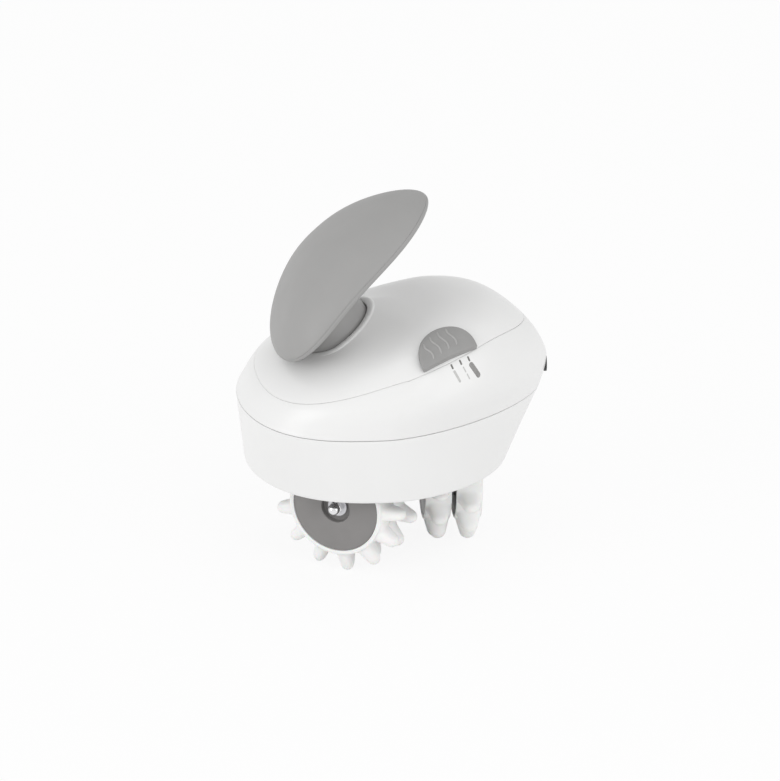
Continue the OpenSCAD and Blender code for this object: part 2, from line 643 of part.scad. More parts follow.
// Battery cells in their cradles, and the spring clips at their ends
module battery_cells() color([0.20, 0.35, 0.60]) for (s = [-1, 1])
    translate([cell_x0, s * cell_y, cell_z]) rotate([0, 90, 0]) {
        cylinder(r = cell_r, h = cell_len - 1.4);
        translate([0, 0, cell_len - 1.5]) cylinder(r = 2.4, h = 1.5);
    }
clip_t = 0.8;
module battery_clips() color(steel) for (s = [-1, 1]) for (x = [cell_x0 - clip_t - touch, cell_x0 + cell_len + touch])
    translate([x, s * cell_y - 4, deck_top + touch]) cube([clip_t, 8, cell_r + 6]);

// Charging socket in the tail
socket_face = seam_tail + 3.2;
module charging_socket() color(dark) difference() {
    translate([socket_face - socket_len, 0, socket_z]) rotate([0, 90, 0]) cylinder(r = socket_r, h = socket_len);
    translate([socket_face - socket_hole_len, 0, socket_z]) rotate([0, 90, 0])
        cylinder(r = socket_hole_r, h = socket_hole_len + 1);
}

// Motor
motor_z = lid_z + lid_t + touch;
cap_len = 3;
module motor_can() color(steel) translate([motor_x, 0, motor_z]) difference() {
    union() {
        cylinder(r = motor_r, h = motor_len - cap_len);
        translate([0, 0, -lid_t + 0.6]) cylinder(r = 3, h = lid_t);
    }
    translate([0, 0, -5]) cylinder(r = 1 + touch, h = motor_len - 2, $fn = 24);
    for (s = [-1, 1]) translate([0, 8 * s, -1]) cylinder(r = 1, h = 4, $fn = 24);
}
module motor_cap() color(dark) translate([motor_x, 0, motor_z + motor_len - cap_len + touch]) {
    cylinder(r = motor_r - 0.6, h = cap_len);
    for (s = [-1, 1]) translate([s * 7 - 1, -0.3, cap_len - 0.1]) cube([2, 0.6, 2.6]);
}
module motor_shaft() color(steel) translate([motor_x, 0, fast_z - 0.6])
    cylinder(r = 1, h = motor_z + motor_len - cap_len - 6 - fast_z, $fn = 24);

// Gears: straight teeth with play, so that meshing teeth never touch
backlash = 0.16;
function tooth(m, z, k) = let (r = m * z / 2, a = 360 * k / z, root = r - 1.2 * m, tip = r + 0.85 * m,
        h0 = 360 / z * 0.30, h1 = 360 / z * (0.25 - backlash / (m * 3.1416 * 2)), h2 = 360 / z * 0.11)
    [[root, a - h0], [r, a - h1], [tip, a - h2], [tip, a + h2], [r, a + h1], [root, a + h0]];
module gear(m, z, face, turn) rotate([0, 0, turn]) linear_extrude(face)
    polygon([for (k = [0:z - 1]) each [for (p = tooth(m, z, k)) [p[0] * cos(p[1]), p[0] * sin(p[1])]]]);
spacer = slow_z - deck_z - 1 - bearing_w - fit;
module head_gear() color(white) translate([0, 0, slow_z]) difference() {
    union() {
        gear(slow_module, head_teeth, slow_face, idler_angle);
        cylinder(r = 7, h = slow_face + 0.6);
        translate([0, 0, -spacer]) cylinder(r = shaft_r + 1.3, h = spacer + 1);
    }
    translate([0, 0, -spacer - 1]) cylinder(r = shaft_r + press, h = spacer + 3);
    translate([0, 0, -1]) cylinder(r = shaft_r + press, h = slow_face + 3);
    for (k = [0:5]) rotate([0, 0, 60 * k]) translate([13.5, 0, -1]) cylinder(r = 3.6, h = slow_face + 2);
}
// The idler's small gear has a gap, and its large gear a tooth, on the lines to its neighbours
idler_to_motor = atan2(-idler_y, motor_x - idler_x);
module idler_gear() color(white) translate([idler_x, idler_y, 0]) difference() {
    union() {
        translate([0, 0, slow_z]) gear(slow_module, idler_small_teeth, slow_face + 1.01,
            idler_angle + 180 + 180 / idler_small_teeth);
        translate([0, 0, fast_z]) gear(fast_module, idler_large_teeth, fast_face, idler_to_motor);
    }
    translate([0, 0, slow_z - 1]) cylinder(r = 1.5 + touch, h = slow_face + fast_face + 4, $fn = 24);
}
module idler_pin() color(steel) translate([idler_x, idler_y, deck_z + 0.4])
    cylinder(r = 1.5 - press, h = lid_z + lid_t - deck_z - 0.8, $fn = 24);
module motor_pinion() color(brass) translate([motor_x, 0, fast_z]) difference() {
    gear(fast_module, pinion_teeth, fast_face, idler_to_motor + 180 + 180 / pinion_teeth);
    translate([0, 0, -1]) cylinder(r = 1 + press, h = fast_face + 2, $fn = 24);
}

// Turning head
axle_z = tip_r * cos(90 / finger_count);
core_half = ring_w / 2 - 0.3;
hub_low = axle_z - 9;
hub_top = deck_z - 1.2;
shaft_low = axle_z + 6;
shaft_top = lid_bearing_z + bearing_w + 1.8;
axle_arm = inner_row - core_half - loose;
function roller_turn(k) = 240 - 120 * k;
module head_shaft() color(steel) difference() {
    translate([0, 0, shaft_low]) cylinder(r = shaft_r, h = shaft_top - shaft_low);
    translate([0, 0, shaft_top - 1.5]) difference() {
        cylinder(r = shaft_r + 1, h = 0.7);
        translate([0, 0, -1]) cylinder(r = shaft_r - 0.5, h = 3);
    }
    translate([0, 0, shaft_low - 1]) cylinder(r = 1.5 + touch, h = 9, $fn = 24);
}
module shaft_clip() color(steel) translate([0, 0, shaft_top - 1.45]) difference() {
    cylinder(r = shaft_r + 2, h = 0.6);
    translate([0, 0, -1]) cylinder(r = shaft_r - 0.45, h = 3);
    translate([0, -1.6, -1]) cube([10, 3.2, 3]);
}
module rotor_hub() color(white) difference() {
    union() {
        translate([0, 0, hub_low]) cylinder(r = hub_r, h = hub_top - hub_low);
        for (k = [0:roller_count - 1]) rotate([0, 0, roller_turn(k)]) translate([0, 0, axle_z])
            rotate([0, 90, 0]) cylinder(r = 6.4, h = axle_arm);
    }
    translate([0, 0, shaft_low - touch]) cylinder(r = shaft_r + press, h = 60);
    translate([0, 0, hub_low - 1]) cylinder(r = 1.5 + fit, h = 60, $fn = 24);
    for (k = [0:roller_count - 1]) rotate([0, 0, roller_turn(k)]) translate([axle_in - touch, 0, axle_z])
        rotate([0, 90, 0]) cylinder(r = axle_r + press, h = 30);
}
axle_in = 5;
recess_floor = outer_row + core_half - nut_recess_d;
shoulder = recess_floor + fit;
washer_t = 0.8;
nut_h = 2.4;
module each_roller() for (k = [0:roller_count - 1]) rotate([0, 0, roller_turn(k)])
    translate([0, 0, axle_z]) rotate([0, 90, 0]) children();
module roller_axles() color(steel) each_roller() {
    translate([0, 0, axle_in]) cylinder(r = axle_r, h = shoulder - axle_in);
    translate([0, 0, shoulder - 0.1]) cylinder(r = thread_r, h = washer_t + nut_h + 0.8, $fn = 24);
}
module axle_washers() color(steel) each_roller() translate([0, 0, shoulder + touch]) difference() {
    cylinder(r = 4.4, h = washer_t);
    translate([0, 0, -1]) cylinder(r = thread_r + fit, h = 4, $fn = 24);
}
nut_base = shoulder + washer_t + 2 * touch;
nut_dome_r = nut_af / 2 - 0.2;
module dome_nuts() color(steel) each_roller() translate([0, 0, nut_base]) difference() {
    union() {
        cylinder(d = nut_af / cos(30), h = nut_h, $fn = 6);
        translate([0, 0, nut_h - 0.01]) cylinder(r = nut_dome_r, h = 1.2);
        translate([0, 0, nut_h + 1.15]) sphere(r = nut_dome_r, $fn = 48);
    }
    translate([0, 0, -1]) cylinder(r = thread_r + press, h = nut_h + 2, $fn = 24);
}

// Rollers: a grey core with two rubber rings of fingers, the rings half a step apart
finger_sides = 10;
finger_steps = [0, 0.3, 0.62, 0.88, 0.98];
function finger_ring(f) =
    let (round = f < 0.8 ? 1 : sqrt(max(1 - pow((f - 0.8) / 0.22, 2), 0.05)),
        w = mix(finger_root_w, finger_tip_w, pow(f, 0.9)) / 2 * round,
        t = mix(finger_root_t, finger_tip_t, pow(f, 0.8)) / 2 * round)
    [for (i = [0:finger_sides - 1]) let (a = 360 * i / finger_sides + 18)
        [t * cos(a), w * sin(a), mix(root_r - 1.4, tip_r, f)]];
module finger() loft([for (f = finger_steps) finger_ring(f)], [0, 0, root_r - 1.4], [0, 0, tip_r]);
module finger_row(k, row, phase) rotate([0, 0, roller_turn(k)]) translate([row, 0, axle_z])
    rotate([0, 90, 0]) {
        difference() {
            translate([0, 0, -ring_w / 2]) cylinder(r = root_r, h = ring_w, $fn = 96);
            translate([0, 0, -ring_w / 2 - 1]) cylinder(r = core_r + touch, h = ring_w + 2, $fn = 96);
        }
        for (i = [0:finger_count - 1]) rotate([0, 0, 360 / finger_count * (i + phase)])
            rotate([90, 0, 0]) finger();
    }
module outer_fingers(k) color(white) finger_row(k, outer_row, 0.5);
module inner_fingers(k) color(white) finger_row(k, inner_row, 0);
waist_r = 12;
bush_r = axle_r + 1.6;
bush_len = 7;
module roller_core(k) color(grey) rotate([0, 0, roller_turn(k)]) translate([0, 0, axle_z]) rotate([0, 90, 0])
    difference() {
        union() {
            for (row = [inner_row, outer_row]) translate([0, 0, row - core_half])
                cylinder(r = core_r, h = 2 * core_half, $fn = 96);
            translate([0, 0, inner_row]) cylinder(r = waist_r, h = outer_row - inner_row);
        }
        translate([0, 0, inner_row - 10]) cylinder(r = axle_r + loose, h = 60);
        translate([0, 0, recess_floor]) cylinder(r = nut_recess_r, h = 10, $fn = 64);
        for (z = [inner_row - core_half - 1, recess_floor - bush_len])
            translate([0, 0, z]) cylinder(r = bush_r + press, h = bush_len + 1);
    }
module roller_bushes(k) color(brass) rotate([0, 0, roller_turn(k)]) translate([0, 0, axle_z]) rotate([0, 90, 0])
    for (z = [inner_row - core_half, recess_floor - bush_len + touch]) translate([0, 0, z]) difference() {
        cylinder(r = bush_r, h = bush_len - 2 * touch);
        translate([0, 0, -1]) cylinder(r = axle_r + touch, h = bush_len + 2);
    }

top_cover();
side_housing();
lower_skirt();
gear_deck();
gearbox_lid();
gearbox_screws();
deck_screws();
cover_screws();
lower_bearing();
upper_bearing();
handle_top();
handle_bottom();
handle_screws();
neck_screws();
switch_slider();
slide_switch();
circuit_board();
board_parts();
board_screws();
battery_cells();
battery_clips();
charging_socket();
motor_can();
motor_cap();
motor_screws();
motor_shaft();
motor_pinion();
idler_gear();
idler_pin();
head_gear();
head_shaft();
shaft_clip();
rotor_hub();
hub_screw();
roller_axles();
axle_washers();
dome_nuts();
outer_fingers(0);  // outer_fingers_a
inner_fingers(0);  // inner_fingers_a
roller_core(0);  // roller_core_a
roller_bushes(0);  // roller_bushes_a
outer_fingers(1);  // outer_fingers_b
inner_fingers(1);  // inner_fingers_b
roller_core(1);  // roller_core_b
roller_bushes(1);  // roller_bushes_b
outer_fingers(2);  // outer_fingers_c
inner_fingers(2);  // inner_fingers_c
roller_core(2);  // roller_core_c
roller_bushes(2);  // roller_bushes_c
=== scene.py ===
# %% [markdown]
# # Dressing a hand-held massager
# The solid model of this massager is already packed: an egg-shaped white body, a grey palm rest on a
# leaning neck, a half-moon slide switch on the shoulder and three rollers of rubber fingers on a turning
# head. This lesson builds the visible skins of its pieces, gives every piece a procedural finish and
# lights it like a plain product picture. Each skin follows its solid, mostly to a millimetre or two, so
# it can ride on its solid's body.

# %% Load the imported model
import math

import bmesh
import bpy
from mathutils import Matrix, Vector


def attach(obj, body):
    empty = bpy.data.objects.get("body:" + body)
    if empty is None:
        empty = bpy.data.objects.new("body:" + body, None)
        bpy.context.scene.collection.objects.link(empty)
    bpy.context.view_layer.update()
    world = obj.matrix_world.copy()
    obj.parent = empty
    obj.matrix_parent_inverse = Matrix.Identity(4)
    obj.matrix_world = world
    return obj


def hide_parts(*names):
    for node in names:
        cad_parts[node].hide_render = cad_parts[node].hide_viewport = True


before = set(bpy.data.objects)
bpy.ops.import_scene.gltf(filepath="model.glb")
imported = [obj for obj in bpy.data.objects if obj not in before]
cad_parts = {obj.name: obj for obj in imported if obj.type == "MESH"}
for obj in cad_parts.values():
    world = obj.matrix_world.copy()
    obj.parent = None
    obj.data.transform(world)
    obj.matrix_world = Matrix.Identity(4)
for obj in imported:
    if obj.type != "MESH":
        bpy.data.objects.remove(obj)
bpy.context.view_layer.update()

# %% [markdown]
# ## Small tools
# All the shapes below are thought out in millimetres, because the pieces are the size of a hand. Only the
# function that makes a mesh turns them into metres. Most of the skins are rows of points that go round a
# form, joined by four-sided faces: such a grid is smooth, light, and easy to round off at its edges.

# %% Helpers for numbers
MM = 0.001


def mix(a, b, t):
    return a + (b - a) * t


def mixed(first, last, t):
    return [mix(a, b, t) for a, b in zip(first, last)]


def spread(count, first=0.0, last=1.0):
    return [mix(first, last, k / (count - 1)) for k in range(count)]


def around(count):
    """Even angles of a full turn."""
    return [2 * math.pi * i / count for i in range(count)]


def sign(x):
    return (x > 0) - (x < 0)


def heading(p):
    return math.atan2(p.y, p.x)


def curve(values, t):
    """A smooth curve through evenly spaced values."""
    n = len(values) - 1
    s = min(max(t, 0), 1) * n
    i = min(int(s), n - 1)
    f = s - i
    b, c = values[i], values[i + 1]
    a = values[i - 1] if i > 0 else 2 * b - c
    d = values[i + 2] if i < n - 1 else 2 * c - b
    return b + 0.5 * f * (c - a + f * (2 * a - 5 * b + 4 * c - d + f * (3 * (b - c) + d - a)))


def smooth_max(a, b, k):
    """The larger of two heights, with a fillet of about k where they cross."""
    h = min(max(0.5 + 0.5 * (a - b) / k, 0), 1)
    return mix(b, a, h) + k * h * (1 - h)


def solved(miss, guess, tries=14, step=1e-4, near=1e-5):
    """The pair u, v at which both numbers of miss(u, v) are nearly 0, by Newton's method."""
    u, v = guess
    for _ in range(tries):
        f0, f1 = miss(u, v)
        if abs(f0) + abs(f1) < near:
            break
        a0, a1 = miss(u + step, v)
        b0, b1 = miss(u, v + step)
        a, b, c, d = (a0 - f0) / step, (b0 - f0) / step, (a1 - f1) / step, (b1 - f1) / step
        det = a * d - b * c
        u -= (d * f0 - b * f1) / det
        v -= (a * f1 - c * f0) / det
    return u, v


# %% Helpers for rows
def loop_faces(rows, count, closed=False):
    """Faces between rows of count points that go round; closed joins the last row to the first."""
    faces = []
    for k in range(rows if closed else rows - 1):
        low, high = k * count, (k + 1) % rows * count
        for i in range(count):
            j = (i + 1) % count
            faces.append((low + i, low + j, high + j, high + i))
    return faces


def walled(rows):
    """Points and faces of a closed wall: the last row joins the first."""
    return [p for row in rows for p in row], loop_faces(len(rows), len(rows[0]), closed=True)


def capped(rows, top, low):
    """Points and faces of rows with a middle point on each end: top on the last, low on the first."""
    count = len(rows[0])
    points = [p for row in rows for p in row] + [top, low]
    faces = loop_faces(len(rows), count)
    last = (len(rows) - 1) * count
    for i in range(count):
        j = (i + 1) % count
        faces += [(last + i, last + j, len(points) - 2), (j, i, len(points) - 1)]
    return points, faces


def gathered(*parts):
    """Several (points, faces) joined into one."""
    points, faces = [], []
    for part_points, part_faces in parts:
        start = len(points)
        points += part_points
        faces += [tuple(i + start for i in face) for face in part_faces]
    return points, faces


def turned(profile, place, count=64):
    """Points and faces of a closed profile of (radius, height) turned about the z axis of a place."""
    return walled([[place @ Vector((r * math.cos(a), r * math.sin(a), h)) for a in around(count)]
                   for r, h in profile])


# %% Helpers for pieces
def linked(name, data):
    """An object with this data, in the scene."""
    thing = bpy.data.objects.new(name, data)
    bpy.context.scene.collection.objects.link(thing)
    return thing


def new_mesh(name, points, faces, merge=True):
    """A mesh from points in millimetres, with its faces turned outwards."""
    mesh = bpy.data.meshes.new(name)
    mesh.from_pydata([Vector(p) * MM for p in points], [], faces)
    work = bmesh.new()
    work.from_mesh(mesh)
    if merge:
        bmesh.ops.remove_doubles(work, verts=work.verts, dist=2e-6)
    bmesh.ops.recalc_face_normals(work, faces=work.faces)
    work.to_mesh(mesh)
    work.free()
    return mesh


def new_piece(name, form, body, material, slot, *nodes, crease=50):
    """A piece from the points and faces of a form, that rides on a body and stands for CAD nodes."""
    mesh = new_mesh(name, *form)
    mesh.shade_smooth()
    mesh.set_sharp_from_angle(angle=math.radians(crease))
    mesh.materials.append(material)
    piece = linked(name, mesh)
    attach(piece, body)
    if nodes:
        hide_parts(*nodes)
    print(f"{name}: {len(mesh.polygons)} faces on {body}")
    return piece


def cut_away(piece, form):
    """Cuts a closed form out of a piece."""
    cutter = linked("cutter", new_mesh("cutter", *form, merge=False))
    modifier = piece.modifiers.new("cut", "BOOLEAN")
    modifier.object = cutter
    modifier.solver = "EXACT"
    bpy.context.view_layer.update()
    ready = piece.evaluated_get(bpy.context.evaluated_depsgraph_get())
    piece.data = bpy.data.meshes.new_from_object(ready)
    piece.modifiers.clear()
    bpy.data.objects.remove(cutter)
    print(f"{piece.name}: {len(piece.data.polygons)} faces after the cut")


# %% [markdown]
# ## Finishes
# Moulded plastic is never one flat colour. Its colour drifts a little over centimetres, its gloss changes
# where hands have polished it, and the mould leaves a fine grain. One function makes all the plastics from
# three noise textures: a slow one for the colour, a middle one for the gloss and a fine one for the grain.
# Rubber, metal, circuit board and battery sleeve start from the same function and change what they need.

# %% A function for finishes
# nearly all of a noise texture lies between these two values
NOISE_LOW, NOISE_HIGH = 0.3, 0.7
# size of a gloss patch, as a share of a colour patch
GLOSS_PATCH = 0.4


def finish(name, colour, roughness, grain=0.1, depth=0.004, drift=0.02, patch=14, polish=0.05,
           **settings):
    """A material with drifting colour and gloss. Grain, patch and depth of the bump are in mm."""
    material = bpy.data.materials.new(name)
    material.use_nodes = True
    nodes, links = material.node_tree.nodes, material.node_tree.links
    shader = nodes["Principled BSDF"]
    place = nodes.new("ShaderNodeTexCoord")

    def noise(size, detail):
        texture = nodes.new("ShaderNodeTexNoise")
        texture.inputs["Scale"].default_value = 1 / (size * MM)
        texture.inputs["Detail"].default_value = detail
        links.new(place.outputs["Object"], texture.inputs["Vector"])
        return texture.outputs["Fac"]

    tone = nodes.new("ShaderNodeValToRGB")
    for stop, share in zip(tone.color_ramp.elements, (1 - drift, 1 + drift)):
        stop.color = [min(c * share, 1) for c in colour] + [1]
    tone.color_ramp.elements[0].position = NOISE_LOW
    tone.color_ramp.elements[1].position = NOISE_HIGH
    links.new(noise(patch, 3), tone.inputs["Fac"])
    links.new(tone.outputs["Color"], shader.inputs["Base Color"])

    gloss = nodes.new("ShaderNodeMapRange")
    gloss.inputs["From Min"].default_value = NOISE_LOW
    gloss.inputs["From Max"].default_value = NOISE_HIGH
    gloss.inputs["To Min"].default_value = roughness - polish / 2
    gloss.inputs["To Max"].default_value = roughness + polish / 2
    links.new(noise(patch * GLOSS_PATCH, 4), gloss.inputs["Value"])
    links.new(gloss.outputs["Result"], shader.inputs["Roughness"])

    bump = nodes.new("ShaderNodeBump")
    bump.inputs["Strength"].default_value = 1
    bump.inputs["Distance"].default_value = depth * MM
    links.new(noise(grain, 2), bump.inputs["Height"])
    links.new(bump.outputs["Normal"], shader.inputs["Normal"])
    for key, value in settings.items():
        shader.inputs[key.replace("_", " ")].default_value = value
    print(f"{name}: colour {colour}, roughness {roughness}")
    return material


# %% The finishes of the outside
white_shell = finish("white_shell", (0.83, 0.83, 0.825), 0.36, grain=0.5, depth=0.0015, drift=0.008,
                     patch=40, Coat_Weight=0.25, Coat_Roughness=0.22)
grey_satin = finish("grey_satin", (0.345, 0.342, 0.338), 0.52, grain=0.22, depth=0.006, patch=20)
grey_slider = finish("grey_slider", (0.31, 0.307, 0.303), 0.48, grain=0.2, depth=0.006, drift=0.03, patch=6)
# the ribs are the slider's own grey plastic, made lighter here as a painted highlight along their ridges
rib_painted_highlight = finish("rib_painted_highlight", (0.40, 0.397, 0.392), 0.45, grain=0.2, drift=0.03, patch=3)
grey_core = finish("grey_core", (0.24, 0.232, 0.228), 0.42, grain=0.3, drift=0.03, patch=9)
white_rubber = finish("white_rubber", (0.91, 0.91, 0.90), 0.5, grain=0.18, depth=0.008, drift=0.015,
                      patch=5, Subsurface_Weight=0.12, Subsurface_Scale=0.002)
polished_nut = finish("polished_nut", (0.80, 0.80, 0.81), 0.12, grain=0.3, depth=0.001, drift=0.03,
                      patch=2, polish=0.06, Metallic=1)
mark_dark = finish("mark_dark", (0.16, 0.155, 0.15), 0.5, depth=0.002, drift=0.15, patch=0.8)
mark_mid = finish("mark_mid", (0.27, 0.265, 0.26), 0.5, depth=0.002, drift=0.15, patch=0.8)
mark_pale = finish("mark_pale", (0.55, 0.55, 0.54), 0.5, depth=0.002, drift=0.08, patch=0.8)

# %% The finishes of the inside
plated_steel = finish("plated_steel", (0.62, 0.62, 0.64), 0.3, grain=0.15, drift=0.05, patch=2, Metallic=1)
turned_brass = finish("turned_brass", (0.72, 0.55, 0.25), 0.28, grain=0.12, drift=0.06, patch=3, Metallic=1)
frame_grey = finish("frame_grey", (0.30, 0.30, 0.305), 0.55, grain=0.25, depth=0.01, drift=0.04, patch=12)
hub_white = finish("hub_white", (0.68, 0.68, 0.67), 0.45, grain=0.25, depth=0.008, drift=0.03, patch=8)
gear_white = finish("gear_white", (0.78, 0.78, 0.73), 0.4, grain=0.2, drift=0.03, patch=5)
dark_plastic = finish("dark_plastic", (0.02, 0.02, 0.022), 0.45, grain=0.2, depth=0.008, drift=0.2, patch=4)
board_green = finish("board_green", (0.02, 0.12, 0.045), 0.35, grain=0.6, depth=0.01, drift=0.15, patch=3)
cell_blue = finish("cell_blue", (0.05, 0.13, 0.30), 0.3, grain=2.0, depth=0.02, drift=0.08, patch=8)

# %% [markdown]
# ## The camera
# The picture looks at the massager from the switch side, a little from the left and from 24 degrees above.
# Its perspective is hardly felt, so the lens is long and the camera stands seven metres away. It is
# made first, because every later choice is judged through it.

# %% Camera
view_target = Vector((6.46, 13.64, 62.79)) * MM
view_back = Vector((-0.0797, -0.9100, 0.4067)).normalized()
view_distance = 7.0
camera = linked("camera", bpy.data.cameras.new("camera"))
camera.data.sensor_width = 36
camera.data.lens = 737.3
camera.data.clip_start = 0.1
camera.data.clip_end = 30
camera.location = view_target + view_back * view_distance
camera.rotation_mode = "QUATERNION"
camera.rotation_quaternion = (-view_back).to_track_quat("-Z", "Y")
bpy.context.scene.camera = camera
print("camera at", [round(c, 3) for c in camera.location])

# %% [markdown]
# ## The egg-shaped body
# Seen from above, each level of the body is an egg: a full blunt end, and a tail that narrows to a tip. The
# dome above the lower seam is a stack of such eggs, and a few shares say how fast it closes. A parting line
# that climbs to the tail splits the dome into a top cover and a side housing. Building the skins from the
# formula, and not from a sculpted lump, keeps both sides of each parting line exactly alike.

# %% The sizes of the body
SEAM_HEAD, SEAM_TAIL, BODY_HALF, SEAM_Z = 62, 70.5, 54.95, 69.5
CREST_Z, CREST_X, WALL, SEAM_GAP = 112.5, 42, 2.2, 0.3
RIM_Z, RIM_HEAD, RIM_TAIL, RIM_HALF = 39.5, 58.5, 56, 54.5
HEAD_SHARE = (1, 0.908, 0.694, 0.42, 0.2, 0)
TAIL_SHARE = (1, 1.12, 0.97, 0.68, 0.34, 0)
WIDTH_SHARE = (1, 0.99, 0.873, 0.718, 0.49, 0)
DOME_H = CREST_Z - SEAM_Z
HALF_LEN = (SEAM_HEAD + SEAM_TAIL) / 2
MID_X = (SEAM_TAIL - SEAM_HEAD) / 2

# %% The formula of the body
# (fullness of the blunt end, fullness of the tail, narrowing of the tail) of the egg at three levels
RIM_EGG, SEAM_EGG, CREST_EGG = (2.5, 1.75, 1), (3, 1.55, 1.4), (2.5, 2.3, 1)
RIM_MID, SEAM_MID = 0, -1
# heights of the upper seam over the lower one, in powers of the cosine of the angle
UPPER_SEAM = (25, 21, -2.8, -10.8)


def egg(head, tail, half, mid, form, angle):
    """A point of an egg that reaches from head to tail and is widest at mid."""
    head_full, tail_full, narrowing = form
    c, s = math.cos(angle), math.sin(angle)
    reach, full = (tail - mid, tail_full) if c >= 0 else (mid - head, head_full)
    return (mid + reach * sign(c) * abs(c) ** (2 / full),
            half * sign(s) * abs(s) ** (narrowing if c >= 0 else 1))


def dome_point(t, angle):
    """t is 0 at the lower seam and 1 at the crest."""
    t = max(t, 0)
    head = CREST_X - (SEAM_HEAD + CREST_X) * curve(HEAD_SHARE, t)
    tail = CREST_X + (SEAM_TAIL - CREST_X) * curve(TAIL_SHARE, t)
    x, y = egg(head, tail, BODY_HALF * curve(WIDTH_SHARE, t), mix(SEAM_MID, CREST_X, t ** 1.5),
               mixed(SEAM_EGG, CREST_EGG, t), angle)
    return Vector((x, y, SEAM_Z + DOME_H * math.sin(math.pi / 2 * t)))


def dome_share(z):
    """The t of a height on the dome."""
    return math.asin(min(max((z - SEAM_Z) / DOME_H, 0), 1)) / (math.pi / 2)


def skirt_point(z, angle):
    f = (z - RIM_Z) / (SEAM_Z - RIM_Z)
    x, y = egg(mix(-RIM_HEAD, -SEAM_HEAD, f), mix(RIM_TAIL, SEAM_TAIL, f), mix(RIM_HALF, BODY_HALF, f),
               mix(RIM_MID, SEAM_MID, f), mixed(RIM_EGG, SEAM_EGG, f), angle)
    return Vector((x, y, z))


def inset(p, d):
    """A point of the body's surface moved inwards by about d."""
    z = SEAM_Z + (p.z - SEAM_Z) * (1 - d / DOME_H) if p.z > SEAM_Z else p.z
    return Vector((MID_X + (p.x - MID_X) * (1 - d / HALF_LEN), p.y * (1 - d / BODY_HALF), z))


def upper_seam_z(angle):
    c = math.cos(angle)
    return SEAM_Z + sum(k * c ** power for power, k in enumerate(UPPER_SEAM))


# %% Even steps round an outline
def even_angles(point_at, count, dense=16000):
    """Angles at which a closed outline has evenly spaced points, starting at angle 0."""
    outline = [point_at(2 * math.pi * k / dense) for k in range(dense + 1)]
    walked = [0.0]
    for p, q in zip(outline, outline[1:]):
        walked.append(walked[-1] + (q - p).length)
    angles, k = [], 0
    for i in range(count):
        goal = walked[-1] * i / count
        while walked[k + 1] < goal:
            k += 1
        angles.append(2 * math.pi * (k + (goal - walked[k]) / (walked[k + 1] - walked[k])) / dense)
    return angles


BODY_AROUND = 320
seam_angles = even_angles(lambda a: dome_point(0, a), BODY_AROUND)
print("lower seam:", BODY_AROUND, "even steps")

# %% [markdown]
# ## Lower skirt and side housing
# The skirt is a short tube that widens from its rim to the lower seam, and the housing goes on from there
# to the climbing parting line. Real shells meet in a hairline groove with softened edges, which is what
# makes a seam read as a seam. So both skins are closed walls, with small rounded corners at the gap.

# %% Rounded edges
EDGE = 0.22
# (shift back from the end, inset) of a quarter round between the outer face and the end face
edge_arc = [(EDGE * (1 - math.sin(a)), EDGE * (1 - math.cos(a))) for a in spread(4, 0, math.pi / 2)]

# %% Lower skirt
LEDGE_R, LEDGE_Z, LEDGE_T = 49.2, 63.5, 2
RIM_ROUND, RIM_CHAMFER, RIM_CORNER = 0.9, 0.6, 0.15


def skirt_row(z, d=0.0):
    return [inset(skirt_point(z, a), d) for a in seam_angles]


def ledge_row(z):
    return [Vector((LEDGE_R * math.cos(a), LEDGE_R * math.sin(a), z)) for a in ledge_angles]


ledge_angles = [heading(skirt_point(LEDGE_Z, a)) for a in seam_angles]
ledge_low = LEDGE_Z - LEDGE_T
skirt_top = SEAM_Z - SEAM_GAP / 2
rows = [skirt_row(RIM_Z + RIM_ROUND * (1 - math.sin(a)), RIM_ROUND * (1 - math.cos(a)))
        for a in spread(6, math.pi / 2, 0)]
rows += [skirt_row(z) for z in spread(14, RIM_Z + RIM_ROUND + 1, skirt_top - EDGE)]
rows += [skirt_row(skirt_top - shift, d) for shift, d in edge_arc[1:]]
rows += [skirt_row(skirt_top, WALL - EDGE), skirt_row(skirt_top - EDGE, WALL), skirt_row(LEDGE_Z, WALL)]
rows += [ledge_row(LEDGE_Z), ledge_row(ledge_low), skirt_row(ledge_low, WALL)]
rows += [skirt_row(z, WALL) for z in spread(5, ledge_low - 1, RIM_Z + RIM_CHAMFER)]
rows += [skirt_row(RIM_Z + RIM_CORNER, WALL - RIM_CORNER), skirt_row(RIM_Z, WALL - RIM_CHAMFER)]
new_piece("skirt_skin", walled(rows), "housing", white_shell, "white_plastic", "lower_skirt")

# %% Side housing
UPPER_GAP, FIRST_SHARE = 0.03, 0.055


def side_row(f, d=0.0, shift=0.0):
    """A row between the lower seam, at f = 0, and the upper seam, at f = 1."""
    return [inset(dome_point(dome_share(upper_seam_z(a) - UPPER_GAP - shift) * f, a), d)
            for a in seam_angles]


def lifted_row(dz, d):
    """A row at a height over the lower seam."""
    return [inset(dome_point(dome_share(SEAM_Z + dz), a), d) for a in seam_angles]


side_foot = SEAM_GAP / 2
rows = [lifted_row(side_foot + shift, d) for shift, d in reversed(edge_arc)]
rows += [side_row(f, shift=EDGE) for f in spread(26, FIRST_SHARE, 1)[:-1]]
rows += [side_row(1, d, shift) for shift, d in edge_arc]
rows += [side_row(1, WALL - EDGE)]
rows += [side_row(f, WALL) for f in spread(8, 0.98, FIRST_SHARE)]
rows += [lifted_row(side_foot + EDGE, WALL), lifted_row(side_foot, WALL - EDGE)]
side = new_piece("side_skin", walled(rows), "housing", white_shell, "white_plastic", "side_housing")

# %% [markdown]
# ## The charging socket's hole
# The socket stays as the solid made it. The housing around it needs a plain round hole, so
# a turned form is cut out of the skin, which is quicker and cleaner than bending the grid round a circle.

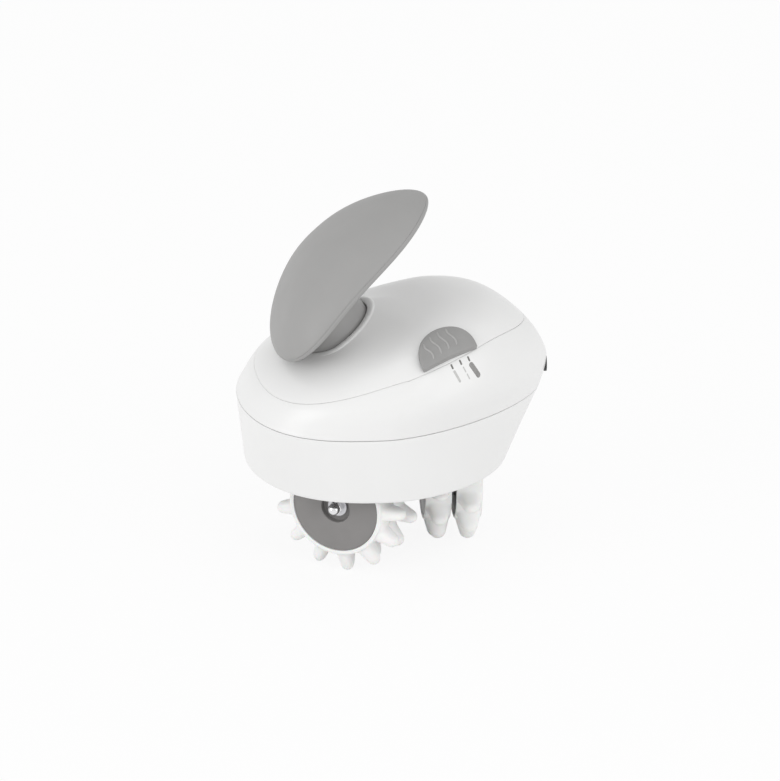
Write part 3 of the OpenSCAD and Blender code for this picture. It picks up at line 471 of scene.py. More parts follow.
# %% Hole in the tail
SOCKET_Z, HOLE_R, HOLE_IN, HOLE_OUT, AXIS_R = 80, 4.1, -14, 7, 0.01
tail_place = Matrix.Translation((SEAM_TAIL, 0, SOCKET_Z)) @ Matrix.Rotation(math.pi / 2, 4, "Y")
hole = [(AXIS_R, HOLE_IN), (HOLE_R, HOLE_IN), (HOLE_R, HOLE_OUT), (AXIS_R, HOLE_OUT)]
cut_away(side, turned(hole, tail_place))

# %% [markdown]
# ## Top cover
# The cover rises in a raised collar round the neck, and the photograph shows the collar as a thin bright
# lip with a soft hollow behind it. A separate ring pushed into the dome would leave a hard corner there.
# Instead the whole cover is one grid: its rows start on the wall of the cup, roll over the lip, fall along
# a hollow curve and then spread out to the parting line. The lip only shows where it stands above the dome.

# %% The neck's own directions
NECK_AT = Vector((-19.25, 0, 98.25))
NECK_LEAN = math.radians(35.7)
NECK_R = 17.5
neck_x = Vector((math.cos(NECK_LEAN), 0, math.sin(NECK_LEAN)))
neck_y = Vector((0, 1, 0))
neck_up = Vector((-math.sin(NECK_LEAN), 0, math.cos(NECK_LEAN)))


def neck_point(r, angle, d):
    return NECK_AT + neck_x * (r * math.cos(angle)) + neck_y * (r * math.sin(angle)) + neck_up * d


# %% The dome seen along the neck
def on_dome(u, v):
    """The dome laid out flat: the crest is at 0, 0 and the lower seam is the unit circle."""
    return dome_point(1 - math.hypot(u, v), math.atan2(v, u))


def dome_under(r, angle, guess):
    """The place on the flat layout whose dome point is at radius r and angle about the neck."""
    goal_x, goal_y = r * math.cos(angle), r * math.sin(angle)

    def miss(u, v):
        p = on_dome(u, v) - NECK_AT
        return p.dot(neck_x) - goal_x, p.y - goal_y

    return solved(miss, guess)


def dome_height(place):
    return (on_dome(*place) - NECK_AT).dot(neck_up)


# %% Places round the neck
COLLAR_AROUND, START_GUESS = 336, (-0.5, 0.0)
turn = around(COLLAR_AROUND)


def places_at(radii, guesses):
    """Flat places at a radius for every angle; each solve starts from the row before."""
    return [dome_under(r, a, g) for r, a, g in zip(radii, turn, guesses)]


def first_places(r):
    found, guess = [], START_GUESS
    for a in turn:
        guess = dome_under(r, a, guess)
        found.append(guess)
    return found


# %% Rows of the lip
CUP_R, LIP_ROUND, LIP_CORNER, LIP_HIGH, LIP_BLEND = 17.75, 1.9, 0.35, 0.62, 1.4
LIP_R = CUP_R + 2 * LIP_ROUND

lip_rows, places = [], first_places(CUP_R)
for s in spread(13):
    r = CUP_R + 2 * LIP_ROUND * (1 - math.cos(math.pi * s)) / 2
    places = places_at([r] * len(turn), places)
    ease = min((r - CUP_R) / LIP_CORNER, 1)
    corner = LIP_CORNER * (1 - math.sqrt(1 - (1 - ease) ** 2))
    lip_h = LIP_ROUND * LIP_HIGH * math.sin(math.pi * s)
    lip_rows.append([neck_point(r, a, smooth_max(dome_height(q), lip_h, LIP_BLEND) - corner)
                     for a, q in zip(turn, places)])
stand = [smooth_max(dome_height(q), 0, LIP_BLEND) - dome_height(q) for q in places]
print("the lip stands", round(max(stand), 1), "mm above the dome at its tail side")

# %% Rows of the hollow behind the lip
FLARE_ROWS, FLARE_MEAN, FLARE_SWING, HOLLOW_POWER = 16, 15, 6, 2.2


def flare_of(angle):
    """How far the hollow reaches: further towards the tail."""
    return FLARE_MEAN + FLARE_SWING * math.cos(angle)


flare_rows = []
for k in range(1, FLARE_ROWS + 1):
    x = (k / FLARE_ROWS) ** 1.5
    radii = [LIP_R + flare_of(a) * x for a in turn]
    places = places_at(radii, places)
    hollow = (1 - x) ** HOLLOW_POWER
    flare_rows.append([neck_point(r, a, dome_height(q) + rise * hollow)
                       for r, a, q, rise in zip(radii, turn, places, stand)])

# %% Rows out to the parting line
flat_centre = Vector(dome_under(AXIS_R, 0, START_GUESS))


def seam_place(toward):
    """Where a ray from the collar's middle through a flat place meets the upper seam."""
    ray = (Vector(toward) - flat_centre).normalized()
    near, far = 0.0, 2.0
    for _ in range(40):
        middle = (near + far) / 2
        q = flat_centre + ray * middle
        limit = 1 - dome_share(upper_seam_z(heading(q)) + UPPER_GAP + EDGE)
        near, far = (middle, far) if q.length < limit else (near, middle)
    return flat_centre + ray * near


def seam_edge(shift, d):
    """A row at the cover's own edge, moved up by shift and in by d."""
    angles = [heading(e) for e in seam_places]
    return [inset(dome_point(dome_share(upper_seam_z(a) + UPPER_GAP + shift), a), d) for a in angles]


flare_places = [Vector(q) for q in places]
seam_places = [seam_place(q) for q in flare_places]
spread_rows = [[on_dome(*q.lerp(e, s)) for q, e in zip(flare_places, seam_places)]
               for s in spread(37)[1:-1]]
edge_rows = [seam_edge(shift, d) for shift, d in edge_arc] + [seam_edge(0, WALL - EDGE)]
inner_rows = [[inset(on_dome(*q.lerp(e, s)), WALL) for q, e in zip(flare_places, seam_places)]
              for s in (0.98, 0.8, 0.6, 0.4, 0.2, 0.0)]

# %% The cup below the neck, and the cover
CUP_FLOOR, CUP_T, CUP_OUT_R, CUP_MID_R, CUP_CORNER = -3, 2.6, 19.8, 2, 0.7
COLLAR_WALL, FOOT_HIGH = WALL * 1.15, -4
foot_places = places_at([CUP_OUT_R] * len(turn), first_places(CUP_OUT_R))
foot_rows = [[neck_point(CUP_OUT_R, a, min(dome_height(q) - COLLAR_WALL, FOOT_HIGH))
              for a, q in zip(turn, foot_places)]]
foot_rows += [[neck_point(r, a, d) for a in turn]
              for r, d in ((CUP_OUT_R, CUP_FLOOR - CUP_T), (CUP_MID_R, CUP_FLOOR - CUP_T),
                           (CUP_MID_R, CUP_FLOOR), (CUP_R, CUP_FLOOR))]
foot_rows += [[p - neck_up * CUP_CORNER for p in lip_rows[0]]]
rows = foot_rows + lip_rows + flare_rows + spread_rows + edge_rows + inner_rows
cover = new_piece("cover_skin", walled(rows), "housing", white_shell, "white_plastic", "top_cover")

# %% [markdown]
# ## Palm rest and neck
# The grey palm rest is a low dome on a curved plate, wide at its lower end, like a thumbless mitten. Its
# outline is a fuller curve than an ellipse, and its long edges arch up. The dome and the plate are two
# mouldings that nearly touch, so their softened edges draw a fine line between them. The plate carries the
# tube of the neck, with a fillet, since moulded corners are always rounded.

# %% The palm rest's own directions
HANDLE_LOW, HANDLE_HIGH = Vector((-45.5, 0, 92.5)), Vector((21, 0, 160.5))
handle_len = (HANDLE_HIGH - HANDLE_LOW).length
handle_x = (HANDLE_HIGH - HANDLE_LOW).normalized()
handle_up = Vector((-handle_x.z, 0, handle_x.x))
handle_mid = (HANDLE_LOW + HANDLE_HIGH) / 2

# %% The palm rest's formula
HANDLE_HALF_W, HANDLE_FULL, HANDLE_NARROWING = 37.5, 2.65, 0.33
HANDLE_ARCH, ARCH_POWER, HANDLE_CROWN, CROWN_POWER = 3.3, 2.4, 18, 0.61


def handle_arch(u):
    return HANDLE_ARCH * max(1 - u * u, 0) ** ARCH_POWER


def handle_point(rho, a, d=0.0, rise=0.0, drop=0.0):
    """rho is 1 at the edge and 0 in the middle, d an inset, rise the dome's height, drop a step down."""
    u = rho * sign(math.cos(a)) * abs(math.cos(a)) ** (2 / HANDLE_FULL)
    v = rho * math.sin(a)
    x = (handle_len / 2 - d) * u
    y = (HANDLE_HALF_W - d) * (1 - HANDLE_NARROWING * u) * v
    z = handle_arch(u) + rise * max(1 - rho * rho, 0) ** CROWN_POWER - drop
    return handle_mid + handle_x * x + Vector((0, y, 0)) + handle_up * z


PALM_AROUND = 200
palm_angles = even_angles(lambda a: handle_point(1, a), PALM_AROUND, 8000)


def palm_row(rho, d=0.0, rise=0.0, drop=0.0):
    return [handle_point(rho, a, d, rise, drop) for a in palm_angles]


# %% Palm dome
SPLIT, PALM_WALL, EDGE_RISE = 0.01, 2.4, 0.6
rhos = [math.sin(a) for a in spread(44, math.radians(89.7), math.radians(3))]
inner_crown = HANDLE_CROWN - PALM_WALL
dome_rows = [palm_row(rho, PALM_WALL, inner_crown) for rho in rhos[::-3]]
dome_rows += [palm_row(1, PALM_WALL, 0, -SPLIT)]
# (inset, step) of the small corner that faces the plate
dome_rows += [palm_row(1, d, 0, -SPLIT - step) for d, step in ((0.14, 0), (0.04, 0.04), (0, 0.16))]
dome_rows += [palm_row(rho, 0, HANDLE_CROWN) for rho in rhos
              if HANDLE_CROWN * (1 - rho * rho) ** CROWN_POWER > EDGE_RISE]
middle = handle_mid + handle_up * HANDLE_ARCH
palm_dome = capped(dome_rows, middle + handle_up * HANDLE_CROWN, middle + handle_up * inner_crown)
new_piece("palm_dome", palm_dome, "housing", grey_satin, "grey_plastic", "handle_top")

# %% Palm plate
PLATE_T, PLATE_ROUND, PLATE_CORNER = 2.4, 1.9, 0.14
plate_rows = [palm_row(rho, PLATE_ROUND, 0, PLATE_T)
              for rho in (0.06, 0.25, 0.45, 0.65, 0.8, 0.9, 0.96, 0.99)]
plate_rows += [palm_row(1, PLATE_ROUND * (1 - math.sin(a)), 0, PLATE_T - PLATE_ROUND * (1 - math.cos(a)))
               for a in spread(9, 0, math.pi / 2)]
plate_rows += [palm_row(1, d, 0, SPLIT + step)
               for d, step in ((0, PLATE_CORNER), (0.04, 0.04), (PLATE_CORNER, 0))]
plate_rows += [palm_row(rho, PLATE_CORNER, 0, SPLIT)
               for rho in (0.98, 0.9, 0.75, 0.6, 0.45, 0.3, 0.15, 0.06)]
plate = capped(plate_rows, middle - handle_up * SPLIT, middle - handle_up * PLATE_T)

# %% Neck
NECK_WALL, NECK_FILLET, NECK_FOOT, NECK_CHAMFER, NECK_SINK = 3, 3.5, CUP_FLOOR + 0.05, 0.25, 0.4
neck_turn = around(160)


def plate_height(r, a):
    """How far up the neck a line at radius r and angle a meets the underside of the palm plate."""
    d = 30.0
    for _ in range(8):
        p = neck_point(r, a, d) - handle_mid
        u = p.dot(handle_x) / (handle_len / 2)
        d += (handle_arch(u) - PLATE_T - p.dot(handle_up)) / neck_up.dot(handle_up)
    return d


def neck_row(r, d):
    return [neck_point(r, a, d) for a in neck_turn]


def top_row(r, below):
    """A row of the neck at a distance below the palm plate."""
    return [neck_point(r, a, plate_height(r, a) - below) for a in neck_turn]


tops = [plate_height(NECK_R, a) for a in neck_turn]
neck_rows = [neck_row(NECK_R - NECK_CHAMFER + h, NECK_FOOT + h) for h in (0, NECK_CHAMFER)]
neck_rows += [[neck_point(NECK_R, a, mix(NECK_FOOT, top - NECK_FILLET, s))
               for a, top in zip(neck_turn, tops)] for s in spread(12, 0.06, 1)]
neck_rows += [top_row(NECK_R + NECK_FILLET * (1 - math.cos(b)), NECK_FILLET * (1 - math.sin(b)))
              for b in spread(8, 0.2, math.pi / 2)]
neck_rows += [top_row(NECK_R + NECK_FILLET, -NECK_SINK), top_row(NECK_R - NECK_WALL, -NECK_SINK)]
neck_rows += [neck_row(NECK_R - NECK_WALL, NECK_FOOT + h) for h in (8, 0)]
new_piece("palm_plate", gathered(plate, walled(neck_rows)), "housing", grey_satin, "grey_plastic",
          "handle_bottom")

# %% [markdown]
# ## Rubber fingers
# Each roller carries two white rubber rings, half a step apart, with thirteen soft fingers on each. A
# finger is wide along the axle and slimmer around it, leans on a fillet and ends in a round tip. The ring
# is cut into thirteen cells. In each cell one grid climbs from the cell's edge on the ring up the finger,
# so ring and fingers are one skin, as they come out of a rubber mould.

# %% The frame of a ring
FINGERS, TIP_R, ROOT_R, CORE_R, RING_HALF = 13, 30.98, 22, 20, 5.8
CELL_STEPS, CELL_HALF = 10, 5.2
half_cell = math.pi / FINGERS


def cell_edge():
    """Places round a cell, from -1 to 1 both around the ring and along the axle."""
    side = spread(CELL_STEPS + 1, -1, 1)
    ahead, back = side[:-1], side[:0:-1]
    return ([(s, -1) for s in ahead] + [(1, w) for w in ahead]
            + [(s, 1) for s in back] + [(-1, w) for w in back])


def ring_place(radius, turned_by, along):
    """Radius from the axle, angle around it from the finger's middle, millimetres along it."""
    return Vector((radius * math.sin(turned_by), along, radius * math.cos(turned_by)))


# %% One finger on its cell
# each pair holds at the root and at the tip of a finger
FINGER_THICK, FINGER_WIDE, FINGER_FULL = (7.4, 4.6), (10.6, 5.6), (2.6, 2.1)
TIP_FROM, TIP_POWER, ROOT_SINK = 0.62, 3.2, 0.2
FOOT_FILLET, FOOT_SHARE, FOOT_END, FOOT_FLAT = 1.25, 0.035 / 0.293, 0.1, 0.25


def finger_size(f, fillet=0.0):
    """(half thickness, half width, height) of the finger at a share f of its length."""
    close = math.sqrt(max(1 - (max(f - TIP_FROM, 0) / (1 - TIP_FROM)) ** TIP_POWER, 0))
    thick = mix(*FINGER_THICK, f ** 0.8) / 2 * close + fillet
    wide = mix(*FINGER_WIDE, f) / 2 * close + fillet * 0.2
    return thick, wide, mix(ROOT_R - ROOT_SINK, TIP_R, f)


def finger_row(edge, f, fillet):
    """One row round the finger; the lowest rows follow the round of the ring."""
    thick, wide, height = finger_size(f, fillet)
    full = mix(*FINGER_FULL, f)
    row = []
    for s, w in edge:
        a = math.atan2(w, s)
        c, n = math.cos(a), math.sin(a)
        x = thick * sign(c) * abs(c) ** (2 / full)
        y = wide * sign(n) * abs(n) ** (2 / full)
        sink = height if f > FOOT_END else math.sqrt(max((height + ROOT_SINK) ** 2 - x * x, 0))
        row.append(Vector((x, y, mix(sink, height, min(f / FOOT_FLAT, 1)))))
    return row


def finger_cell():
    edge = cell_edge()
    steps = [(FOOT_SHARE * (1 - math.cos(b)), FOOT_FILLET * (1 - math.sin(b)))
             for b in spread(5, 0.15, math.pi / 2)]
    steps += [(f, 0) for f in spread(7, 0.2, 0.7)]
    steps += [(0.7 + 0.3 * math.sin(b), 0) for b in spread(10, 0.14, 1.5)]
    rows = [[ring_place(ROOT_R, s * half_cell, w * CELL_HALF) for s, w in edge]]
    rows += [finger_row(edge, f, fillet) for f, fillet in steps]
    points = [p for row in rows for p in row] + [Vector((0, 0, TIP_R))]
    faces = loop_faces(len(rows), len(edge))
    last, top = (len(rows) - 1) * len(edge), len(points) - 1
    faces += [(last + i, last + (i + 1) % len(edge), top) for i in range(len(edge))]
    return points, faces


cell_points, cell_faces = finger_cell()
print("a finger cell has", len(cell_faces), "faces")

# %% A whole ring
RING_ROUND = 0.6


def ring_rim():
    """The two rounded rims, the side faces and the bore that closes the ring."""
    half = [(ROOT_R - RING_ROUND + RING_ROUND * math.cos(a), CELL_HALF + RING_ROUND * math.sin(a))
            for a in spread(5, 0, math.pi / 2)]
    half += [(CORE_R + 0.45, RING_HALF), (CORE_R + 0.1, RING_HALF - 0.15), (CORE_R + 0.05, RING_HALF - 0.6)]
    profile = half + [(r, -h) for r, h in reversed(half)]
    count = FINGERS * CELL_STEPS
    points = [ring_place(r, (i / CELL_STEPS * 2 - 1) * half_cell, h)
              for r, h in profile for i in range(count)]
    return points, loop_faces(len(profile), count)


def ring_form(phase):
    """Cells and rims of a ring that is turned on by a share of a finger's step."""
    turns = [Matrix.Rotation(2 * half_cell * (i + phase), 3, "Y") for i in range(FINGERS)]
    rim_points, rim_faces = ring_rim()
    return gathered(*[([t @ p for p in cell_points], cell_faces) for t in turns],
                    ([turns[0] @ p for p in rim_points], rim_faces))


# %% Six rings on three rollers
ROLLERS = {"a": 240, "b": 120, "c": 0}
OUTER_ROW, INNER_ROW, AXLE_Z = 38.4, 24.8, 31 * math.cos(math.radians(90 / 13))


def roller_place(letter, along):
    """Ring frame to model: y runs out along the axle, and the first finger points sideways."""
    turn_z = math.radians(ROLLERS[letter])
    out = Vector((math.cos(turn_z), math.sin(turn_z), 0))
    side_way = Vector((-math.sin(turn_z), math.cos(turn_z), 0))
    columns = Matrix((-Vector((0, 0, 1)), out, -side_way)).transposed()
    centre = out * along + Vector((0, 0, AXLE_Z))
    return lambda p: centre + columns @ p


for letter in ROLLERS:
    for row_name, along, phase in (("outer", OUTER_ROW, 0.5), ("inner", INNER_ROW, 0.0)):
        points, faces = ring_form(phase)
        place = roller_place(letter, along)
        new_piece(f"{row_name}_rubber_{letter}", ([place(p) for p in points], faces), f"roller_{letter}",
                  white_rubber, "white_rubber", f"{row_name}_fingers_{letter}", crease=60)

# %% [markdown]
# ## Roller cores
# Under the rubber sits a turned grey core: two discs on a waist, a stepped recess for the nut on the outer
# face and a bore for the brass bushes. A lathe profile with small rounded corners gives it all at once.

# %% Cores
CORE_HALF, RECESS_R, RECESS_D, WAIST_R, BORE_R, BUSH_R, BUSH_LEN = 5.5, 6.7, 3, 12, 2.8, 4.1, 7
CORE_CORNER = 0.35


def core_profile():
    """(radius, distance along the axle), from the inner face outwards and back through the bore."""
    inner, outer = INNER_ROW - CORE_HALF, OUTER_ROW + CORE_HALF
    low, high = INNER_ROW + CORE_HALF, OUTER_ROW - CORE_HALF
    floor, c = outer - RECESS_D, CORE_CORNER
    inner_disc = [(BUSH_R, inner), (BUSH_R + c, inner), (CORE_R - c, inner), (CORE_R - 0.1, inner + 0.1),
                  (CORE_R, inner + c), (CORE_R, low - c), (CORE_R - c, low)]
    waist = [(WAIST_R + c, low), (WAIST_R, low + c), (WAIST_R, high - c), (WAIST_R + c, high)]
    outer_disc = [(CORE_R - c, high), (CORE_R, high + c), (CORE_R, outer - 0.6),
                  (CORE_R - 0.05, outer - 0.3), (CORE_R - 0.2, outer - 0.08), (CORE_R - 0.45, outer)]
    recess = [(RECESS_R + 0.45, outer), (RECESS_R + 0.2, outer - 0.06), (RECESS_R + 0.05, outer - 0.2),
              (RECESS_R, outer - 0.45), (RECESS_R, floor + 0.3), (RECESS_R - 0.3, floor)]
    bore = [(BUSH_R, floor), (BUSH_R, floor - BUSH_LEN), (BORE_R, floor - BUSH_LEN),
            (BORE_R, inner + BUSH_LEN), (BUSH_R, inner + BUSH_LEN)]
    return inner_disc + waist + outer_disc + recess + bore


def axle_matrix(letter):
    """Place whose z axis runs out along a roller's axle."""
    turn_z = Matrix.Rotation(math.radians(ROLLERS[letter]), 4, "Z")
    return turn_z @ Matrix.Translation((0, 0, AXLE_Z)) @ Matrix.Rotation(math.pi / 2, 4, "Y")


for letter in ROLLERS:
    new_piece(f"core_{letter}", turned(core_profile(), axle_matrix(letter), 144), f"roller_{letter}",
              grey_core, "core_plastic", f"roller_core_{letter}", crease=40)

# %% [markdown]
# ## Dome nuts
# A bright dome nut sits in the recess of each roller. It has a chamfered hexagon and a polished dome. The
# hexagon is drawn by its radius at each angle, held in by a cone at both ends: that cone is what gives real
# nuts the curved edges on their flats.

# %% Nuts
NUT_AF, NUT_H, NUT_NECK, NUT_BASE, NUT_DOME_R = 5.5, 2.4, 1.15, 41.9, 2.55
NUT_LEVELS = (0, 0.08, 0.16, 0.25, 0.36, 1.2, 2.04, 2.15, 2.24, 2.32, 2.4)
CONE_IN, CONE_SLOPE = 0.08, 1.6


def nut_radius(angle, h):
    flat = NUT_AF / 2 / math.cos((angle + math.pi / 6) % (math.pi / 3) - math.pi / 6)
    cone = NUT_AF / 2 - CONE_IN + CONE_SLOPE * min(h, NUT_H - h)
    return min(flat, cone)


def dome_nut(place):
    ring, crown = around(96), NUT_H + NUT_NECK
    rows = [[(r, 0)] * len(ring) for r in (1.6, 2.2)]
    rows += [[(nut_radius(a, h), h) for a in ring] for h in NUT_LEVELS]
    rows += [[(r, h)] * len(ring)
             for r, h in ((NUT_DOME_R + 0.12, NUT_H), (NUT_DOME_R, NUT_H + 0.15), (NUT_DOME_R, crown))]
    rows += [[(NUT_DOME_R * math.cos(b), crown + NUT_DOME_R * math.sin(b))] * len(ring)
             for b in spread(12, 0.12, 1.5)]
    placed = [[place @ Vector((r * math.cos(a), r * math.sin(a), h)) for (r, h), a in zip(row, ring)]
              for row in rows]
    return capped(placed, place @ Vector((0, 0, crown + NUT_DOME_R)), place @ Vector((0, 0, 0)))


nuts = [dome_nut(axle_matrix(letter) @ Matrix.Translation((0, 0, NUT_BASE))) for letter in ROLLERS]
new_piece("cap_nuts", gathered(*nuts), "head", polished_nut, "nut_steel", "dome_nuts", crease=25)

# %% [markdown]
# ## The slide switch
# The slider is a half-moon of grey plastic that lies on the shoulder, its straight edge on the parting
# line. Four S-shaped ribs give the thumb a hold. Its underside follows a barrel about the axis that it
# swings on, so it can slide without cutting into the cover. Its top is the same barrel, one slider
# thickness higher.

# %% The slider's own directions
SLIDER_SHARE, SLIDER_TURN, SLIDER_SINK = 0.5368, math.radians(-75.26), 1.0
SLIDER_YAW, SLIDER_RISE, SLIDER_ROLL, SLIDER_SKEW = (math.radians(v) for v in (30.5, 14.4, 28.4, -5.4))
TRACK_R, TRACK_X, TRACK_Y, BARREL_R, SLIDER_GAP = 72, 3.3, 7.7, 15, 3.55
slider_at = dome_point(SLIDER_SHARE, SLIDER_TURN) - Vector((0, 0, SLIDER_SINK))
slider_frame = (Matrix.Translation(slider_at) @ Matrix.Rotation(SLIDER_YAW, 4, "Z")
                @ Matrix.Rotation(-SLIDER_RISE, 4, "Y") @ Matrix.Rotation(SLIDER_ROLL, 4, "X"))
skew = Matrix.Rotation(SLIDER_SKEW, 2)


def on_barrel(p, grow):
    """The point of the barrel over a place of the slider's plane, grow higher."""
    r = TRACK_R - BARREL_R + math.sqrt(BARREL_R ** 2 - (p.y - TRACK_Y) ** 2) + grow
    z = SLIDER_GAP - TRACK_R + math.sqrt(r * r - (p.x - TRACK_X) ** 2)
    return slider_frame @ Vector((p.x, p.y, z))


def on_slider(flat, grow):
    return on_barrel(skew @ flat, grow)


# %% Outline of the half-moon
SLIDER_CHORD, SLIDER_DEPTH, SLIDER_EDGE, CORNER_R = 27.4, 14.8, -0.5, 0.9
MOON_R = ((SLIDER_CHORD / 2) ** 2 + SLIDER_DEPTH ** 2) / (2 * SLIDER_DEPTH)
MOON_Y = SLIDER_EDGE + SLIDER_DEPTH - MOON_R
moon_middle = Vector((0, 5.5))


def moon_radius(angle, d):
    """Distance from the middle to the outline moved inwards by d, along an angle."""
    s = math.sin(angle)
    gap_y = moon_middle.y - MOON_Y
    along = gap_y * s
    arc = -along + math.sqrt(along * along - gap_y * gap_y + (MOON_R - d) ** 2)
    chord = (moon_middle.y - SLIDER_EDGE - d) / -s if s < -1e-6 else 1e6
    return -smooth_max(-arc, -chord, CORNER_R)


def moon_outline(d):
    return [moon_middle + Vector((math.cos(a), math.sin(a))) * moon_radius(a, d) for a in around(240)]


# %% Body of the slider
SLIDER_T, SLIDER_ROUND, SLIDER_FOOT, FOOT_IN = 2.6, 0.6, 0.02, 0.35


def moon_rows(*steps):
    """A row of the outline for each (inset, height)."""
    return [[on_slider(p, grow) for p in moon_outline(d)] for d, grow in steps]


def moon_flat(d, grow, shares):
    """Rows that shrink the outline, moved inwards by d, towards the middle."""
    return [[on_slider(moon_middle.lerp(p, s), grow) for p in moon_outline(d)] for s in shares]


slider_rows = moon_flat(FOOT_IN, SLIDER_FOOT, (0.1, 0.5, 0.8))
slider_rows += moon_rows((FOOT_IN, SLIDER_FOOT), (0.05, 0.14), (0, 0.35), (0, 1.0), (0, 1.7))
slider_rows += moon_rows(*[(SLIDER_ROUND * (1 - math.cos(b)), SLIDER_T - SLIDER_ROUND * (1 - math.sin(b)))
                           for b in spread(6, 0.1, math.pi / 2)])
slider_rows += moon_flat(SLIDER_ROUND, SLIDER_T, (0.95, 0.88, 0.78, 0.66, 0.52, 0.38, 0.24, 0.1))
moon_form = capped(slider_rows, on_slider(moon_middle, SLIDER_T), on_slider(moon_middle, SLIDER_FOOT))

# %% Stem under the slider, and its slot in the cover
STEM_W, STEM_T, STEM_LOW, STEM_HIGH, LOOSE, TRAVEL, SLOT_HIGH = 4, 3, -5.6, 5.2, 0.3, 8, 20


def block(x0, y0, z0, x1, y1, z1, place):
    corners = [(x, y, z) for z in (z0, z1) for x, y in ((x0, y0), (x1, y0), (x1, y1), (x0, y1))]
    sides = [(0, 3, 2, 1), (4, 5, 6, 7)] + [(i, (i + 1) % 4, (i + 1) % 4 + 4, i + 4) for i in range(4)]
    return [place @ Vector(c) for c in corners], sides


stem_x, stem_y0, stem_y1 = STEM_W / 2, TRACK_Y - STEM_T / 2, TRACK_Y + STEM_T / 2
stem = block(-stem_x, stem_y0, STEM_LOW, stem_x, stem_y1, STEM_HIGH, slider_frame)
new_piece("thumb_slider", gathered(moon_form, stem), "slider", grey_slider, "grey_plastic", "switch_slider")
cut_away(cover, block(-stem_x - LOOSE, stem_y0 - LOOSE, STEM_LOW,
                      stem_x + TRAVEL + LOOSE, stem_y1 + LOOSE, SLOT_HIGH, slider_frame))

# %% S-shaped ribs
RIBS, RIB_GAP, RIB_SHIFT, RIB_H, RIB_HALF, RIB_SINK, RIB_ROOT = 4, 4.2, -1, 0.5, 0.45, 0.12, 0.5
RIB_LOW, RIB_HIGH, RIB_MARGIN, RIB_LEAN, RIB_SWING, RIB_TAPER = 2.2, 12.2, 1.6, 0.1, 0.6, 3.2
RIB_ROUND = 9


def rib_form(x):
    """A half-round bar that follows an S over the slider's top, with sloping ends."""
    rib_high = min(RIB_HIGH, MOON_Y + math.sqrt(MOON_R ** 2 - x * x) - RIB_MARGIN)
    rows = []
    for s in spread(41):
        y = mix(RIB_LOW, rib_high, s)
        line = Vector((x + RIB_LEAN * (y - TRACK_Y) + RIB_SWING * math.sin(2 * math.pi * s), y))
        slope = RIB_LEAN + RIB_SWING * 2 * math.pi * math.cos(2 * math.pi * s) / (rib_high - RIB_LOW)
        across = Vector((1, -slope)).normalized()
        fade = min(1, math.sin(math.pi * min(max(s, 0.004), 0.996)) * RIB_TAPER) ** 0.5
        rows.append([on_barrel(line + across * (RIB_HALF * fade * math.cos(b)),
                               SLIDER_T - RIB_SINK + RIB_H * fade * math.sin(b))
                     for b in spread(RIB_ROUND, 0, math.pi)])
        rows[-1].append(on_barrel(line, SLIDER_T - RIB_ROOT))
    points = [p for row in rows for p in row]
    count = RIB_ROUND + 1
    ends = [tuple(range(count))[::-1], tuple(range(len(points) - count, len(points)))]
    return points, loop_faces(len(rows), count) + ends


ribs = [rib_form((k - (RIBS - 1) / 2) * RIB_GAP + RIB_SHIFT) for k in range(RIBS)]
# the ribs wear the lighter grey, a painted highlight on the slider's plastic
new_piece("slider_ribs", gathered(*ribs), "slider", rib_painted_highlight, "grey_plastic", crease=60)

# %% [markdown]
# ## Marks beside the switch
# Next to the slider the photograph shows three small ticks, one for each position, with a longer mark below
# each. They are printed on the housing, so each is a very thin patch laid on the body's own formula. They
# carry no words: plain bars that grow darker stand for the three positions.

# %% Places on the body beside the switch
MARK_GUESS, NORMAL_STEP = (0.12, -0.45), 0.05
mark_out = slider_frame.to_3x3() @ Vector((0, 0, 1))
mark_x = mark_out.orthogonal().normalized()
mark_y = mark_out.cross(mark_x)


def body_at(place):
    """The dome's point on the line through a place, straight along the switch's outward direction."""
    def miss(u, v):
        gap = on_dome(u, v) - place
        return gap.dot(mark_x), gap.dot(mark_y)

    return on_dome(*solved(miss, MARK_GUESS))


def surface_normal(p):
    q, r = body_at(p + mark_x * NORMAL_STEP), body_at(p + mark_y * NORMAL_STEP)
    n = (q - p).cross(r - p).normalized()
    return n if n.dot(mark_out) > 0 else -n


# %% Marks
MARK_PROUD, MARK_SINK = 0.05, -0.1


def pill(start, end, half):
    """A thin rounded patch along the line from start to end, laid on the body."""
    start, end = Vector(start), Vector(end)
    along = (end - start).normalized()
    side_way = mark_out.cross(along).normalized()
    middle = (start + end) / 2
    reach = (end - start).length / 2
    outline = []
    for a in around(48):
        c, s = math.cos(a), math.sin(a)
        stretch = sign(c) * reach if abs(c) > 1e-9 else 0
        outline.append(along * (stretch + half * c) + side_way * (half * s))
    on_body = body_at(middle)
    normal = surface_normal(on_body)
    rows = [[body_at(middle + o * s) + normal * lift for o in outline]
            for s, lift in ((1, MARK_SINK), (1, MARK_PROUD), (0.75, MARK_PROUD), (0.5, MARK_PROUD),
                            (0.25, MARK_PROUD))]
    return capped(rows, on_body + normal * MARK_PROUD, on_body + normal * MARK_SINK)


# name: (finish, half width, lines)
MARKS = {
    "position_ticks": (mark_dark, 0.4, (((28.2, -42.3, 98.6), (28.8, -42.9, 97.4)),
                                        ((32.1, -40.3, 99.6), (32.7, -40.9, 98.4)),
                                        ((35.8, -38.3, 100.3), (36.4, -38.9, 99.1)))),
    "first_mark": (mark_pale, 0.55, (((29.5, -43.2, 95.8), (31.8, -44.0, 91.4)),)),
    "second_mark": (mark_pale, 0.28, (((33.6, -41.2, 96.9), (34.6, -41.6, 94.8)),
                                      ((35.2, -41.8, 93.9), (36.2, -42.1, 91.9)))),
    "third_mark": (mark_mid, 1.15, (((37.2, -39.4, 97.2), (40.2, -39.7, 92.6)),)),
}
for name, (material, half, lines) in MARKS.items():
    form = gathered(*[pill(start, end, half) for start, end in lines])
    new_piece(name, form, "housing", material, "white_plastic", crease=35)

